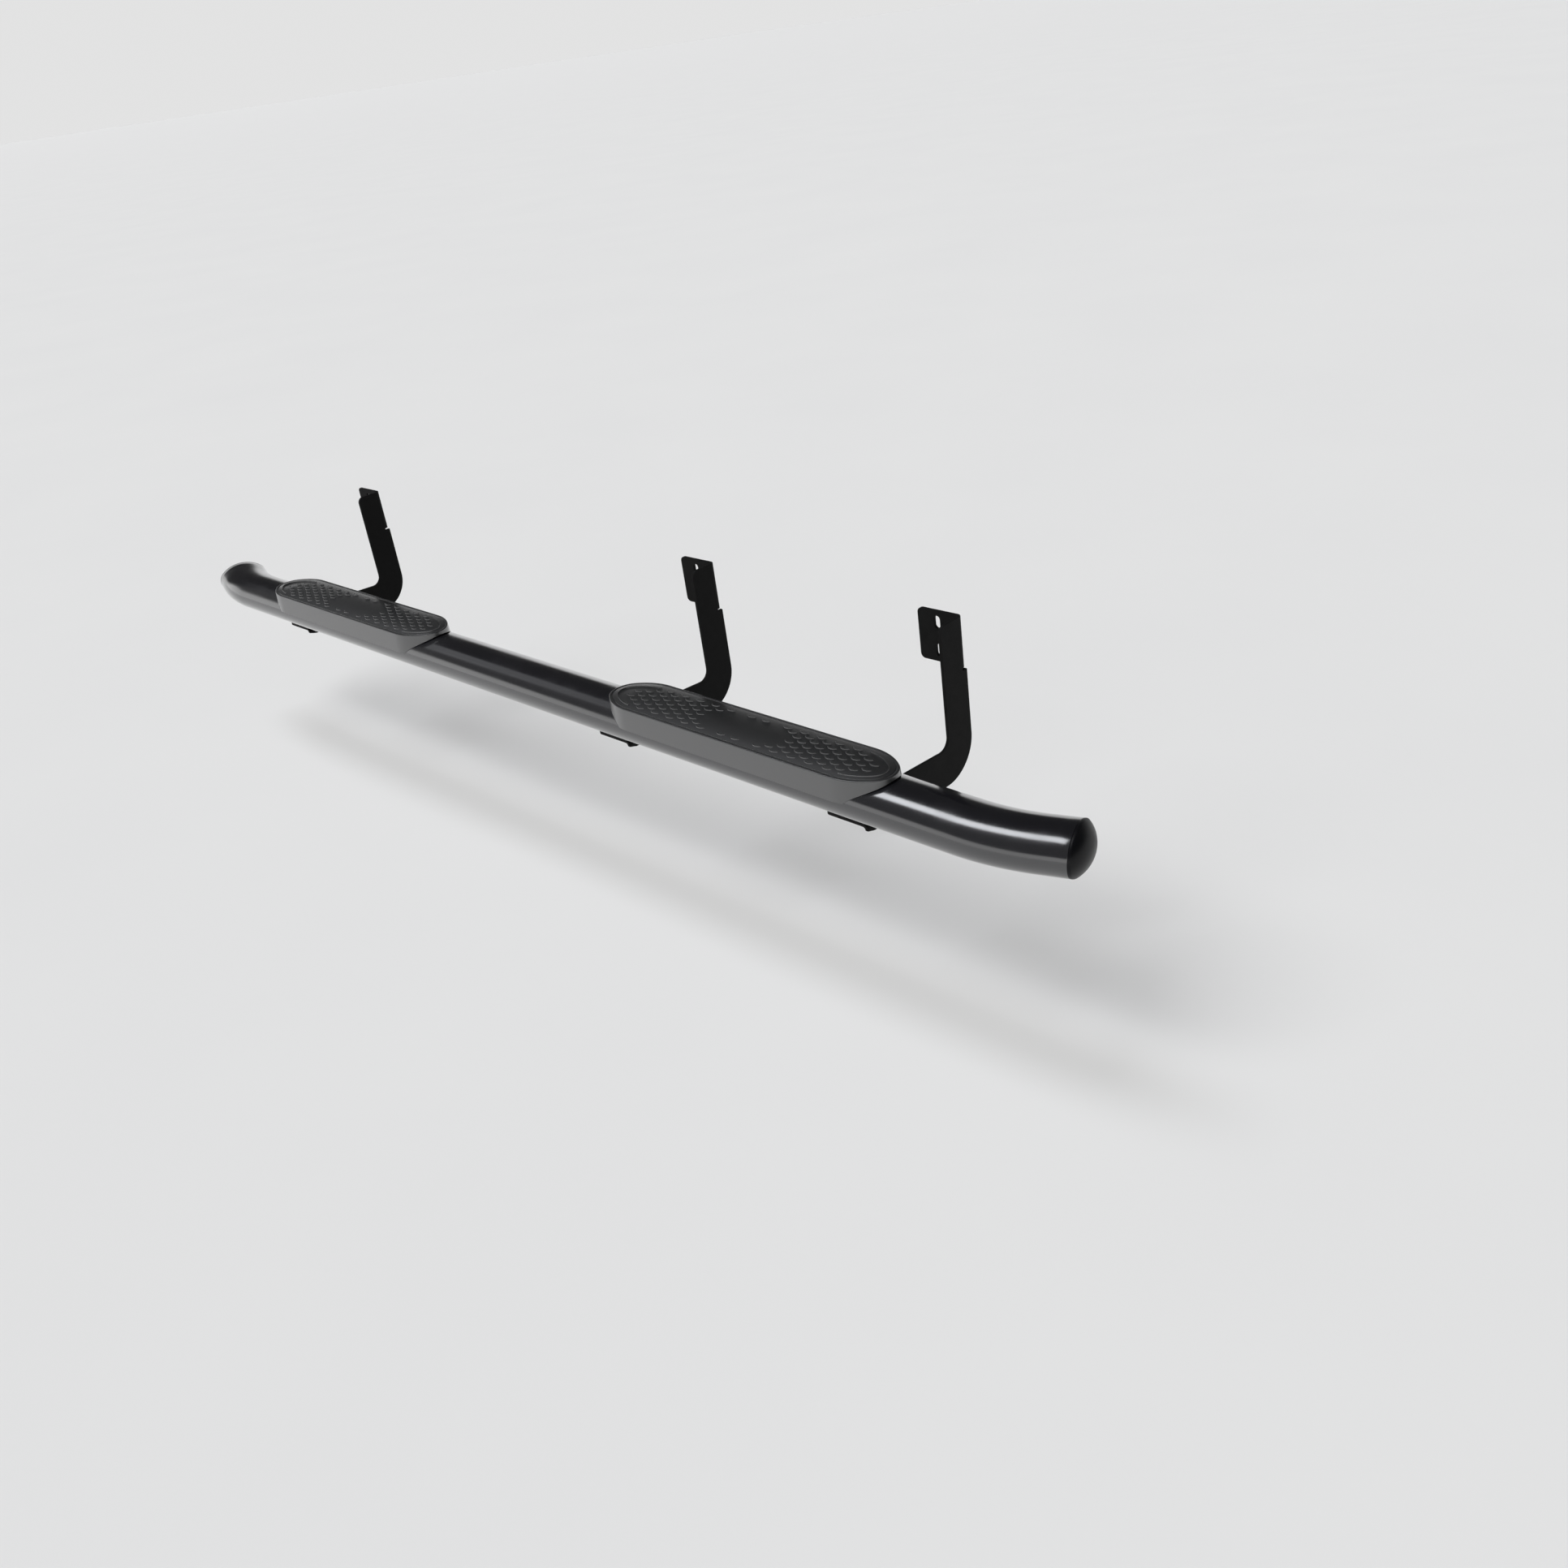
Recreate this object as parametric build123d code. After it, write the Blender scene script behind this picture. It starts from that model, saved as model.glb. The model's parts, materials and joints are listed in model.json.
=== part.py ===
"""Side step bar: a bent oval tube on three folded plate brackets, with two moulded treads.

X runs along the bar towards the vehicle's front, Y points inboard and Z is up. The bar is
drawn about the middle of its tube and then placed so that the origin is the centre of the
middle bracket's slot pattern, on the face that meets the vehicle.
"""
from build123d import *
from math import atan2, cos, degrees, radians, sin
import os

# Tube
TUBE_WIDTH = 101.6
TUBE_HEIGHT = 69.0
TUBE_TIP_RADIUS = 27.0
TUBE_WALL = 2.0
TUBE_STRAIGHT = 1946.0
BEND_RADIUS = 350.0
BEND_ANGLE = 18.0
END_STRAIGHT = 42.0

# End caps
CAP_RISE = 22.0
CAP_EDGE = 4.0
CAP_WALL = 2.5
CAP_SKIRT_LENGTH = 24.0
CAP_NOTCH_WIDTH = 6.0
CAP_NOTCH_DEPTH = 14.0

# Treads
PAD_STATION = 554.0
PAD_LENGTH = 590.0
PAD_WIDTH = 101.2
PAD_END = 77.0
PAD_TIP_RADIUS = 36.0
PAD_RISE = 9.0
PAD_SKIRT_DROP = 28.0
PAD_FLARE = 2.0
PAD_SKIN = 3.2
PAD_WALL = 3.0
PAD_LIP_RADIUS = 1.8
PAD_END_GAP = 2.2
GROOVE_INSET = 4.6
GROOVE_WIDTH = 1.8
GROOVE_DEPTH = 1.0
RIDGE_INSET = 14.0
RIDGE_WIDTH = 2.0
RIDGE_SHORT = 3.0
RIB_THICKNESS = 2.0
RIB_OFFSET = 24.0

# Raised crescents on the treads
CRESCENT_CHORD = 17.6
CRESCENT_SAG = 3.2
CRESCENT_WIDTH = 2.1
TREAD_HEIGHT = 1.3
TREAD_PITCH_X = 34.6
TREAD_PITCH_Y = 8.3
TREAD_COLUMNS = 5
TREAD_FIRST = 60.5
TREAD_STEPS_BY_ROW = (2, 3, 2, 1, 0)
CENTRE_PAIR_SPACING = 30.0

# Tread clips
CLIP_COUNT = 4
CLIP_SPACING = 130.0
CLIP_FLANGE_RADIUS = 8.0
CLIP_FLANGE_THICKNESS = 1.6
CLIP_BUTTON_RADIUS = 6.0
CLIP_BUTTON_HEIGHT = 3.2
CLIP_STEM_RADIUS = 3.4
CLIP_STEM_LENGTH = 13.0
CLIP_BARB_RADIUS = 5.2
CLIP_BARB_DEPTH = 3.4
CLIP_TIP_RADIUS = 1.6
BOSS_WALL = 3.0

# Brackets: the arm plate's middle plane stands at each station
FRONT_BRACKET = 809.5
MIDDLE_BRACKET = 295.5
REAR_BRACKET = -748.5
PLATE = 5.0
FOLD_RADIUS = 5.0
FLANGE_LENGTH = 78.0
FOOT_OUTBOARD = 25.0
FOOT_INBOARD = 32.0
FOOT_CORNER = 8.0
FOLD_RELIEF = 3.0
LEG_CLEARANCE = 114.2
LEG_WIDTH = 53.0
LEG_TOP = 190.0
LEG_CORNER = 12.0
KNEE_RADIUS = 62.5
ARM_DEPTH = 61.5
ARM_TIP_OUTBOARD = 11.0
ARM_TIP_DEPTH = 4.5
ARM_TOP = -1.0
ARM_SKIRT_GAP = 0.8
THROAT_RADIUS = 18.0
SADDLE_CLEARANCE = 2.5
MOUNT_HEIGHT = 80.0
SLOT_WIDTH = 11.0
SLOT_LENGTH = 20.0
SLOT_SPACING = 44.0

# Bolts under the feet, and the tapped plates inside the tube
BOLT_RADIUS = 5.0
BOLT_SPACING = 38.0
BOLT_SLOT_LENGTH = 17.0
HEAD_SIDES = 6
HEAD_ACROSS_FLATS = 16.0
HEAD_HEIGHT = 6.4
HEAD_CHAMFER = 0.8
FLAT_WASHER_RADIUS = 10.0
FLAT_WASHER_THICKNESS = 2.0
LOCK_WASHER_RADIUS = 8.3
LOCK_WASHER_THICKNESS = 2.4
LOCK_WASHER_GAP = 1.6
NUT_PLATE_WIDTH = 26.0
NUT_PLATE_THICKNESS = 6.0
NUT_PLATE_MARGIN = 13.0
BOLT_PROTRUSION = 1.5

# Clearances
SEAT_GAP = 0.3
PLATE_GAP = 0.1
HOLE_CLEARANCE = 0.6
WASHER_CLEARANCE = 0.25
THREAD_CLEARANCE = 0.05
OVERCUT = 12.0

# Sizes that follow from the ones above
HALF_WIDTH = TUBE_WIDTH / 2
HALF_HEIGHT = TUBE_HEIGHT / 2
PAD_TOP = HALF_HEIGHT + PAD_RISE
PAD_ROOF = PAD_TOP - PAD_SKIN
SKIRT_BOTTOM = HALF_HEIGHT - PAD_SKIRT_DROP
FOLD_OUTER = FOLD_RADIUS + PLATE
FLANGE_FLAT_START = PLATE / 2 + FOLD_RADIUS
FLANGE_MIDDLE = (FLANGE_FLAT_START + FLANGE_LENGTH) / 2
FOOT_TOP = -HALF_HEIGHT
FOOT_BOTTOM = FOOT_TOP - PLATE
LEG_OUTBOARD = HALF_WIDTH + LEG_CLEARANCE
LEG_INBOARD = LEG_OUTBOARD + LEG_WIDTH
SLOT_MIDDLE = LEG_TOP - MOUNT_HEIGHT / 2
HOLE_RADIUS = BOLT_RADIUS + HOLE_CLEARANCE
STATIONS = {"front": FRONT_BRACKET, "middle": MIDDLE_BRACKET, "rear": REAR_BRACKET}
ENDS = {"front": 1, "rear": -1}
ORIGIN = Vector(MIDDLE_BRACKET - FLANGE_MIDDLE, LEG_INBOARD, SLOT_MIDDLE)


def oval(half_length, half_width, tip_radius):
    """An oval of four arcs, a tight one round each end and a flat one along each side."""
    tip_centre = half_length - tip_radius
    spare = half_length**2 + half_width**2 - 2 * half_length * tip_radius
    side_radius = spare / (2 * (half_width - tip_radius))
    lean = atan2(side_radius - half_width, tip_centre)
    x = tip_centre + tip_radius * cos(lean)
    y = tip_radius * sin(lean)
    arcs = [
        ThreePointArc((x, -y), (half_length, 0), (x, y)),
        ThreePointArc((x, y), (0, half_width), (-x, y)),
        ThreePointArc((-x, y), (-half_length, 0), (-x, -y)),
        ThreePointArc((-x, -y), (0, -half_width), (x, -y)),
    ]
    return make_face([arc.edge() for arc in arcs])


def tube_oval(inset):
    """The tube's outline, smaller all round by inset."""
    return oval(HALF_WIDTH - inset, HALF_HEIGHT - inset, TUBE_TIP_RADIUS - inset)


def bar(section, length):
    """A solid bar of one section along X, centred on the origin."""
    return extrude(Plane.YZ * section, length / 2, both=True)


def tube_path():
    """The tube's middle line from the rear end to the front end."""
    half = TUBE_STRAIGHT / 2
    front_bend = JernArc((half, 0), (1, 0), BEND_RADIUS, BEND_ANGLE)
    front_end = Line(front_bend @ 1, front_bend @ 1 + END_STRAIGHT * (front_bend % 1))
    rear_bend = JernArc((-half, 0), (-1, 0), BEND_RADIUS, -BEND_ANGLE)
    rear_end = Line(rear_bend @ 1, rear_bend @ 1 + END_STRAIGHT * (rear_bend % 1))
    middle = Line((-half, 0), (half, 0))
    return Wire([rear_end.edge(), rear_bend.edge(), middle.edge(), front_bend.edge(), front_end.edge()])


def end_plane(side):
    """The plane across one end of the tube, facing out of the tube."""
    turn = radians(BEND_ANGLE)
    reach = TUBE_STRAIGHT / 2 + BEND_RADIUS * sin(turn) + END_STRAIGHT * cos(turn)
    offset = BEND_RADIUS * (1 - cos(turn)) + END_STRAIGHT * sin(turn)
    outward = (side * cos(turn), sin(turn), 0)
    across = (-sin(turn), side * cos(turn), 0)
    return Plane(origin=(side * reach, offset, 0), x_dir=across, z_dir=outward)


def bolt_places(station):
    """Where the two foot bolts of one bracket stand."""
    middle = station - FLANGE_MIDDLE
    return [(middle - BOLT_SPACING / 2, 0), (middle + BOLT_SPACING / 2, 0)]


def clip_places(station):
    """Where the clips of one tread stand."""
    first = station - CLIP_SPACING * (CLIP_COUNT - 1) / 2
    return [(first + CLIP_SPACING * i, 0) for i in range(CLIP_COUNT)]


def make_tube():
    """The bent tube with its clip holes above and its bolt holes below."""
    path = tube_path()
    start = end_plane(ENDS["rear"])
    outer = sweep(start * tube_oval(0), path)
    inner = sweep(start * tube_oval(TUBE_WALL), path)
    tube = outer - inner
    for side in ENDS.values():
        for x, y in clip_places(side * PAD_STATION):
            tube -= Pos(x, y, HALF_HEIGHT) * Cylinder(CLIP_STEM_RADIUS + HOLE_CLEARANCE, HALF_HEIGHT)
    for station in STATIONS.values():
        for x, y in bolt_places(station):
            tube -= Pos(x, y, -HALF_HEIGHT) * Cylinder(HOLE_RADIUS, HALF_HEIGHT)
    return tube


def dome(inset):
    """A short oval post on the XY plane with a rounded end, smaller all round by inset."""
    half_width = HALF_WIDTH - inset
    half_height = HALF_HEIGHT - inset
    rise = CAP_RISE - inset
    axis_drop = (half_height**2 + CAP_EDGE**2 - rise**2) / (2 * (rise - CAP_EDGE))
    crown = ThreePointArc((-half_width, CAP_EDGE), (0, rise), (half_width, CAP_EDGE))
    base = Polyline(crown @ 1, (half_width, -axis_drop), (-half_width, -axis_drop), crown @ 0)
    profile = Plane.XZ * make_face([crown.edge(), *base.edges()])
    round_end = revolve(profile, Axis((0, 0, -axis_drop), (1, 0, 0)))
    return round_end & extrude(tube_oval(inset), CAP_RISE)


def make_cap():
    """A hollow domed cap on the XY plane, with its notched skirt below."""
    skirt_inset = TUBE_WALL + SEAT_GAP
    bore = tube_oval(skirt_inset + CAP_WALL)
    skirt = extrude(tube_oval(skirt_inset) - bore, -CAP_SKIRT_LENGTH)
    rim = extrude(tube_oval(0) - bore, CAP_WALL)
    cap = dome(0) - dome(CAP_WALL) + rim + skirt
    notch_middle = CAP_NOTCH_DEPTH / 2 - CAP_SKIRT_LENGTH
    cap -= Pos(0, 0, notch_middle) * Box(TUBE_WIDTH, CAP_NOTCH_WIDTH, CAP_NOTCH_DEPTH)
    cap -= Pos(0, 0, notch_middle) * Box(CAP_NOTCH_WIDTH, TUBE_HEIGHT, CAP_NOTCH_DEPTH)
    return cap


def capsule(grow):
    """The tread's outline, two straight sides and two half ovals, larger all round by grow."""
    half_width = PAD_WIDTH / 2 + grow
    straight = PAD_LENGTH / 2 - PAD_END
    end = oval(PAD_END + grow, half_width, PAD_TIP_RADIUS + grow)
    middle = Rectangle(2 * straight, 2 * half_width)
    return middle + Pos(straight, 0) * end + Pos(-straight, 0) * end


def crescent():
    """One raised crescent, a curved band with square ends, its belly towards the outboard side."""
    half = CRESCENT_CHORD / 2
    width = CRESCENT_WIDTH
    outer = ThreePointArc((-half, 0), (0, -CRESCENT_SAG), (half, 0))
    inner = ThreePointArc((half, width), (0, width - CRESCENT_SAG), (-half, width))
    ends = [Line(outer @ 1, inner @ 0), Line(inner @ 1, outer @ 0)]
    return make_face([edge.edge() for edge in (outer, ends[0], inner, ends[1])])


def crescent_places():
    """The centres of all the crescents, an arrow-shaped field at each end and a pair each side."""
    rows = len(TREAD_STEPS_BY_ROW)
    places = []
    for row in range(1 - rows, rows):
        start = TREAD_FIRST + TREAD_STEPS_BY_ROW[abs(row)] * TREAD_PITCH_X / 2
        for column in range(TREAD_COLUMNS):
            x = start + column * TREAD_PITCH_X
            places += [(x, row * TREAD_PITCH_Y), (-x, row * TREAD_PITCH_Y)]
    side_row = (rows - 1) * TREAD_PITCH_Y
    half = CENTRE_PAIR_SPACING / 2
    return places + [(-half, side_row), (half, side_row), (-half, -side_row), (half, -side_row)]


def tread_relief():
    """The crescents and the two end ridges, standing on the tread's top."""
    ridge = capsule(-RIDGE_INSET) - capsule(-RIDGE_INSET - RIDGE_WIDTH)
    middle_length = PAD_LENGTH - 2 * (PAD_END - RIDGE_SHORT)
    ridge -= Rectangle(middle_length, PAD_WIDTH)
    shapes = [crescent().moved(Location((x, y, 0))) for x, y in crescent_places()]
    shapes += list(ridge.faces())
    return [extrude(shape.moved(Location((0, 0, PAD_TOP))), TREAD_HEIGHT) for shape in shapes]


def pad_underside():
    """Ribs and clip bosses that fill the tread's hollow down to the tube."""
    depth = PAD_TOP - SKIRT_BOTTOM
    middle = (PAD_TOP + SKIRT_BOTTOM) / 2
    hollow = extrude(capsule(-PAD_WALL), PAD_ROOF)
    long_rib = Pos(0, 0, middle) * Box(PAD_LENGTH, RIB_THICKNESS, depth)
    ribs = [Pos(0, side * RIB_OFFSET) * long_rib for side in (1, -1)]
    for i in range(2 * CLIP_COUNT - 1):
        x = (i - CLIP_COUNT + 1) * CLIP_SPACING / 2
        ribs.append(Pos(x, 0, middle) * Box(RIB_THICKNESS, PAD_WIDTH, depth))
    boss_radius = CLIP_FLANGE_RADIUS + SEAT_GAP + BOSS_WALL
    for x, y in clip_places(0):
        ribs.append(Pos(x, y, middle) * Cylinder(boss_radius, depth))
    seat = bar(tube_oval(-SEAT_GAP), PAD_LENGTH)
    return (ribs[0] + ribs[1:]) & hollow - seat


def make_pad():
    """One moulded tread, centred over the tube."""
    height = PAD_TOP - SKIRT_BOTTOM
    flare = degrees(atan2(PAD_FLARE, height))
    pad = extrude(Pos(0, 0, PAD_TOP) * capsule(0), -height, taper=-flare)
    pad = fillet(pad.faces().sort_by(Axis.Z)[-1].edges(), PAD_LIP_RADIUS)
    groove = capsule(-GROOVE_INSET) - capsule(-GROOVE_INSET - GROOVE_WIDTH)
    pad -= Pos(0, 0, PAD_TOP - GROOVE_DEPTH) * extrude(groove, PAD_RISE)
    pad -= extrude(capsule(-PAD_WALL), PAD_ROOF)
    opening = oval(HALF_WIDTH + SEAT_GAP, HALF_HEIGHT + PAD_END_GAP, TUBE_TIP_RADIUS)
    pad -= bar(opening, PAD_LENGTH + OVERCUT)
    pad += pad_underside()
    flange_socket_top = HALF_HEIGHT + CLIP_FLANGE_THICKNESS + SEAT_GAP
    button_socket_top = flange_socket_top + CLIP_BUTTON_HEIGHT + SEAT_GAP
    for x, y in clip_places(0):
        pad -= Pos(x, y) * extrude(Circle(CLIP_BUTTON_RADIUS + SEAT_GAP), button_socket_top)
        pad -= Pos(x, y) * extrude(Circle(CLIP_FLANGE_RADIUS + SEAT_GAP), flange_socket_top)
    return pad + tread_relief()


def make_clip():
    """A push-in clip: button, flange, stem and one barbed tip, its flange on the XY plane."""
    top = CLIP_FLANGE_THICKNESS + CLIP_BUTTON_HEIGHT
    outline = Polyline(
        (0, -CLIP_STEM_LENGTH),
        (CLIP_TIP_RADIUS, -CLIP_STEM_LENGTH),
        (CLIP_BARB_RADIUS, -CLIP_BARB_DEPTH),
        (CLIP_STEM_RADIUS, -CLIP_BARB_DEPTH),
        (CLIP_STEM_RADIUS, 0),
        (CLIP_FLANGE_RADIUS, 0),
        (CLIP_FLANGE_RADIUS, CLIP_FLANGE_THICKNESS),
        (CLIP_BUTTON_RADIUS, CLIP_FLANGE_THICKNESS),
        (CLIP_BUTTON_RADIUS, top),
        (0, top),
        close=True,
    )
    return revolve(Plane.XZ * make_face(outline), Axis.Z)


def fold_section():
    """The fold and the flat of a flange, drawn from the edge of the plate that carries it."""
    centre = Pos(-FLANGE_FLAT_START, 0)
    corner = Pos(-FLANGE_FLAT_START, 0) * Rectangle(FOLD_OUTER, FOLD_OUTER, align=(Align.MIN, Align.MIN))
    bend = (centre * (Circle(FOLD_OUTER) - Circle(FOLD_RADIUS))) & corner
    flat_length = FLANGE_LENGTH - FLANGE_FLAT_START
    flat = Pos(-FLANGE_LENGTH, FOLD_RADIUS) * Rectangle(flat_length, PLATE, align=(Align.MIN, Align.MIN))
    return bend + flat


def round_corner(outline, corner, radius):
    """Round the corner of a flat outline that lies nearest to a point."""
    return fillet(outline.vertices().sort_by_distance(corner)[0], radius)


def arm_profile():
    """The gooseneck's flat outline in the YZ plane, without its two folded flanges."""
    fold_line = FOOT_TOP - FOLD_OUTER
    step = FOOT_INBOARD + FOLD_RELIEF
    mount_edge = LEG_INBOARD - FOLD_OUTER
    mount_foot = LEG_TOP - MOUNT_HEIGHT - FOLD_RELIEF
    throat = (LEG_OUTBOARD, ARM_TOP)
    shoulder = (LEG_OUTBOARD, LEG_TOP)
    knee = (LEG_INBOARD, -ARM_DEPTH)
    outline = Polyline(
        (-ARM_TIP_OUTBOARD, fold_line - ARM_TIP_DEPTH),
        (-FOOT_OUTBOARD, fold_line),
        (step, fold_line),
        (step, ARM_TOP),
        (HALF_WIDTH, SKIRT_BOTTOM - ARM_SKIRT_GAP),
        throat,
        shoulder,
        (mount_edge, LEG_TOP),
        (mount_edge, mount_foot),
        (LEG_INBOARD, mount_foot),
        knee,
        close=True,
    )
    profile = make_face(outline)
    profile = round_corner(profile, throat, THROAT_RADIUS)
    profile = round_corner(profile, shoulder, LEG_CORNER)
    profile = round_corner(profile, knee, KNEE_RADIUS)
    return profile - tube_oval(-SADDLE_CLEARANCE)


def round_far_corners(flange, along):
    """Round the two corners at a flange's free end, the edges that run through its thickness."""
    corners = flange.edges().filter_by(along).group_by(Axis.X)[0]
    return fillet(corners, FOOT_CORNER)


def make_bracket():
    """One folded bracket, its arm plate's middle plane on the YZ plane."""
    arm = bar(arm_profile(), PLATE)
    foot_start = (0, -FOOT_OUTBOARD, FOOT_TOP - FOLD_OUTER)
    foot_plane = Plane(origin=foot_start, x_dir=(1, 0, 0), z_dir=(0, -1, 0))
    foot = extrude(foot_plane * fold_section(), -(FOOT_OUTBOARD + FOOT_INBOARD))
    foot = round_far_corners(foot, Axis.Z)
    for x, y in bolt_places(0):
        slot = SlotOverall(BOLT_SLOT_LENGTH, 2 * HOLE_RADIUS, rotation=90)
        foot -= Pos(x, y, FOOT_BOTTOM) * extrude(slot, OVERCUT, both=True)
    mount_start = (0, LEG_INBOARD - FOLD_OUTER, LEG_TOP - MOUNT_HEIGHT)
    mount_plane = Plane(origin=mount_start, x_dir=(1, 0, 0))
    mount = extrude(mount_plane * fold_section(), MOUNT_HEIGHT)
    mount = round_far_corners(mount, Axis.Y)
    for side in (1, -1):
        place = (-FLANGE_MIDDLE, LEG_INBOARD, SLOT_MIDDLE + side * SLOT_SPACING / 2)
        slot_plane = Plane(origin=place, x_dir=(0, 0, 1), z_dir=(0, 1, 0))
        mount -= extrude(slot_plane * SlotOverall(SLOT_LENGTH, SLOT_WIDTH), OVERCUT, both=True)
    return arm + foot + mount


def make_nut_plate():
    """A tapped plate that lies on the tube's inner wall, its middle on the Z axis."""
    wall = TUBE_WALL + PLATE_GAP
    length = BOLT_SPACING + 2 * NUT_PLATE_MARGIN
    top = NUT_PLATE_THICKNESS - (HALF_HEIGHT - wall)
    blank = Pos(0, 0, top) * extrude(Rectangle(length, NUT_PLATE_WIDTH), -HALF_HEIGHT)
    plate = blank & bar(tube_oval(wall), length)
    for side in (1, -1):
        hole = Cylinder(BOLT_RADIUS + THREAD_CLEARANCE, HALF_HEIGHT)
        plate -= Pos(side * BOLT_SPACING / 2, 0, top) * hole
    return plate


def washer(radius, thickness):
    """A flat ring with its top on the XY plane."""
    ring = Circle(radius) - Circle(BOLT_RADIUS + WASHER_CLEARANCE)
    return extrude(ring, -thickness)


def make_lock_washer():
    """A split ring with its top on the XY plane."""
    gap = Pos(LOCK_WASHER_RADIUS / 2, 0) * Box(LOCK_WASHER_RADIUS, LOCK_WASHER_GAP, OVERCUT)
    return washer(LOCK_WASHER_RADIUS, LOCK_WASHER_THICKNESS) - gap


def make_bolt():
    """A hexagon bolt pointing up, the underside of its head on the XY plane."""
    reach = FLAT_WASHER_THICKNESS + LOCK_WASHER_THICKNESS + PLATE + TUBE_WALL + NUT_PLATE_THICKNESS
    head = extrude(RegularPolygon(HEAD_ACROSS_FLATS / 2, HEAD_SIDES, major_radius=False), -HEAD_HEIGHT)
    face_radius = HEAD_ACROSS_FLATS / 2
    cone = Cone(face_radius, face_radius + HEAD_HEIGHT, HEAD_HEIGHT)
    head &= Pos(0, 0, -HEAD_HEIGHT / 2) * cone
    return head + extrude(Circle(BOLT_RADIUS), reach + BOLT_PROTRUSION)


def set_of(solid, places, height):
    """Copies of one solid at each place, lifted to a height."""
    return [solid.moved(Location((x, y, height))) for x, y in places]


def save(name, solids):
    """Move a node's solids to the part's own frame and write them to their file."""
    placed = [solid.moved(Location(-ORIGIN)) for solid in solids]
    shape = placed[0] if len(placed) == 1 else Compound(children=placed)
    shape.label = name
    export_step(shape, f"parts/{name}.step")


def main():
    """Build every node and write it out."""
    os.makedirs("parts", exist_ok=True)
    save("step_tube", [make_tube().solid()])
    cap = make_cap().solid()
    pad = make_pad().solid()
    clip = make_clip().solid()
    for name, side in ENDS.items():
        save(f"{name}_end_cap", [end_plane(side).location * cap])
        save(f"{name}_step_pad", [pad.moved(Location((side * PAD_STATION, 0, 0)))])
        save(f"{name}_pad_clips", set_of(clip, clip_places(side * PAD_STATION), HALF_HEIGHT + PLATE_GAP))
    bracket = make_bracket().solid()
    nut_plate = make_nut_plate().solid()
    bolt = make_bolt().solid()
    flat_washer = washer(FLAT_WASHER_RADIUS, FLAT_WASHER_THICKNESS).solid()
    lock_washer = make_lock_washer().solid()
    lock_top = FOOT_BOTTOM - FLAT_WASHER_THICKNESS
    for name, station in STATIONS.items():
        places = bolt_places(station)
        save(f"{name}_bracket", [bracket.moved(Location((station, 0, 0)))])
        save(f"{name}_nut_plate", [nut_plate.moved(Location((station - FLANGE_MIDDLE, 0, 0)))])
        save(f"{name}_foot_bolts", set_of(bolt, places, lock_top - LOCK_WASHER_THICKNESS))
        save(f"{name}_flat_washers", set_of(flat_washer, places, FOOT_BOTTOM))
        save(f"{name}_lock_washers", set_of(lock_washer, places, lock_top))


main()
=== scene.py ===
"""Looks of the side step bar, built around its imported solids.

A bent oval tube hangs on three folded plate brackets and carries two moulded treads. Every
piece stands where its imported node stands. Sizes are in millimetres in the classes and become
metres when a mesh is made.
"""
import json
import logging
import math
from contextlib import contextmanager
from dataclasses import dataclass, field
from enum import Enum
from typing import Dict, Iterator, List, Sequence, Tuple

import bmesh
import bpy
from mathutils import Matrix, Vector

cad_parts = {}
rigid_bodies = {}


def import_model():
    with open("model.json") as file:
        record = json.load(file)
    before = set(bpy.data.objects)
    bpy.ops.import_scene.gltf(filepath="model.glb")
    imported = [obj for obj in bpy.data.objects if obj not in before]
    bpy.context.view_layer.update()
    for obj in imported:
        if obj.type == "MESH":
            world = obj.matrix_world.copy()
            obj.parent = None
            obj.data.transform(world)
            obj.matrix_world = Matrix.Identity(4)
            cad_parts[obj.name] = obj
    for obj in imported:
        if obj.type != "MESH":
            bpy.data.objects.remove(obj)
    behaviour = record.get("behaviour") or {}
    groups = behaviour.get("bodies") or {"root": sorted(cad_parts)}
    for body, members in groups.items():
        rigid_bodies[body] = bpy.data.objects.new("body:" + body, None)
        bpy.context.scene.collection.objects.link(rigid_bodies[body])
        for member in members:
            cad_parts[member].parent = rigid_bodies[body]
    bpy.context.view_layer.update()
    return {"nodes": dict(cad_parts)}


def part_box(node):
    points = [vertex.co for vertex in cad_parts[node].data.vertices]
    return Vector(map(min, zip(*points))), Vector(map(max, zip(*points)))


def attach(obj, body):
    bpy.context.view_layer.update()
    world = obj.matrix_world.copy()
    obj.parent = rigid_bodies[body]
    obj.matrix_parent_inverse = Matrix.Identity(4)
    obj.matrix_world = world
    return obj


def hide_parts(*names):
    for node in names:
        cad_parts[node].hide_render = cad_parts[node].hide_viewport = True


for leftover in list(bpy.data.objects):
    bpy.data.objects.remove(leftover)
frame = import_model()

MM = 0.001
BODY = "root"
SHARP_ANGLE = math.radians(32)
FLAT_ANGLE = math.radians(0.5)
BROKEN_EDGE_ANGLE = math.radians(40)
RIM_EDGE_ANGLE = math.radians(60)
# points closer than this become one, in metres
MERGE_DISTANCE = 1e-6
# how far a cutting piece reaches past what it cuts, in millimetres
OVERCUT = 5.0
# how far the middle of a rounded edge lies below each of its faces, as a share of the radius
ROUNDING = 0.3
CLIP_COUNT = 4
CLIP_SPACING = 130.0
PAD_STATION = 554.0
log = logging.getLogger("side_step")

Piece = bpy.types.Object
Tree = bpy.types.NodeTree
Node = bpy.types.Node
Socket = bpy.types.NodeSocket
Triple = Tuple[float, float, float]
Sample = Tuple[Vector, Vector]
Ring = List[Vector]


class End(Enum):
    """The two ends of the bar."""

    FRONT = "front"
    REAR = "rear"

    @property
    def side(self) -> int:
        """Plus one for the front end, minus one for the rear end."""
        return 1 if self is End.FRONT else -1


class Station(Enum):
    """The three brackets along the bar."""

    FRONT = "front"
    MIDDLE = "middle"
    REAR = "rear"


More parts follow.
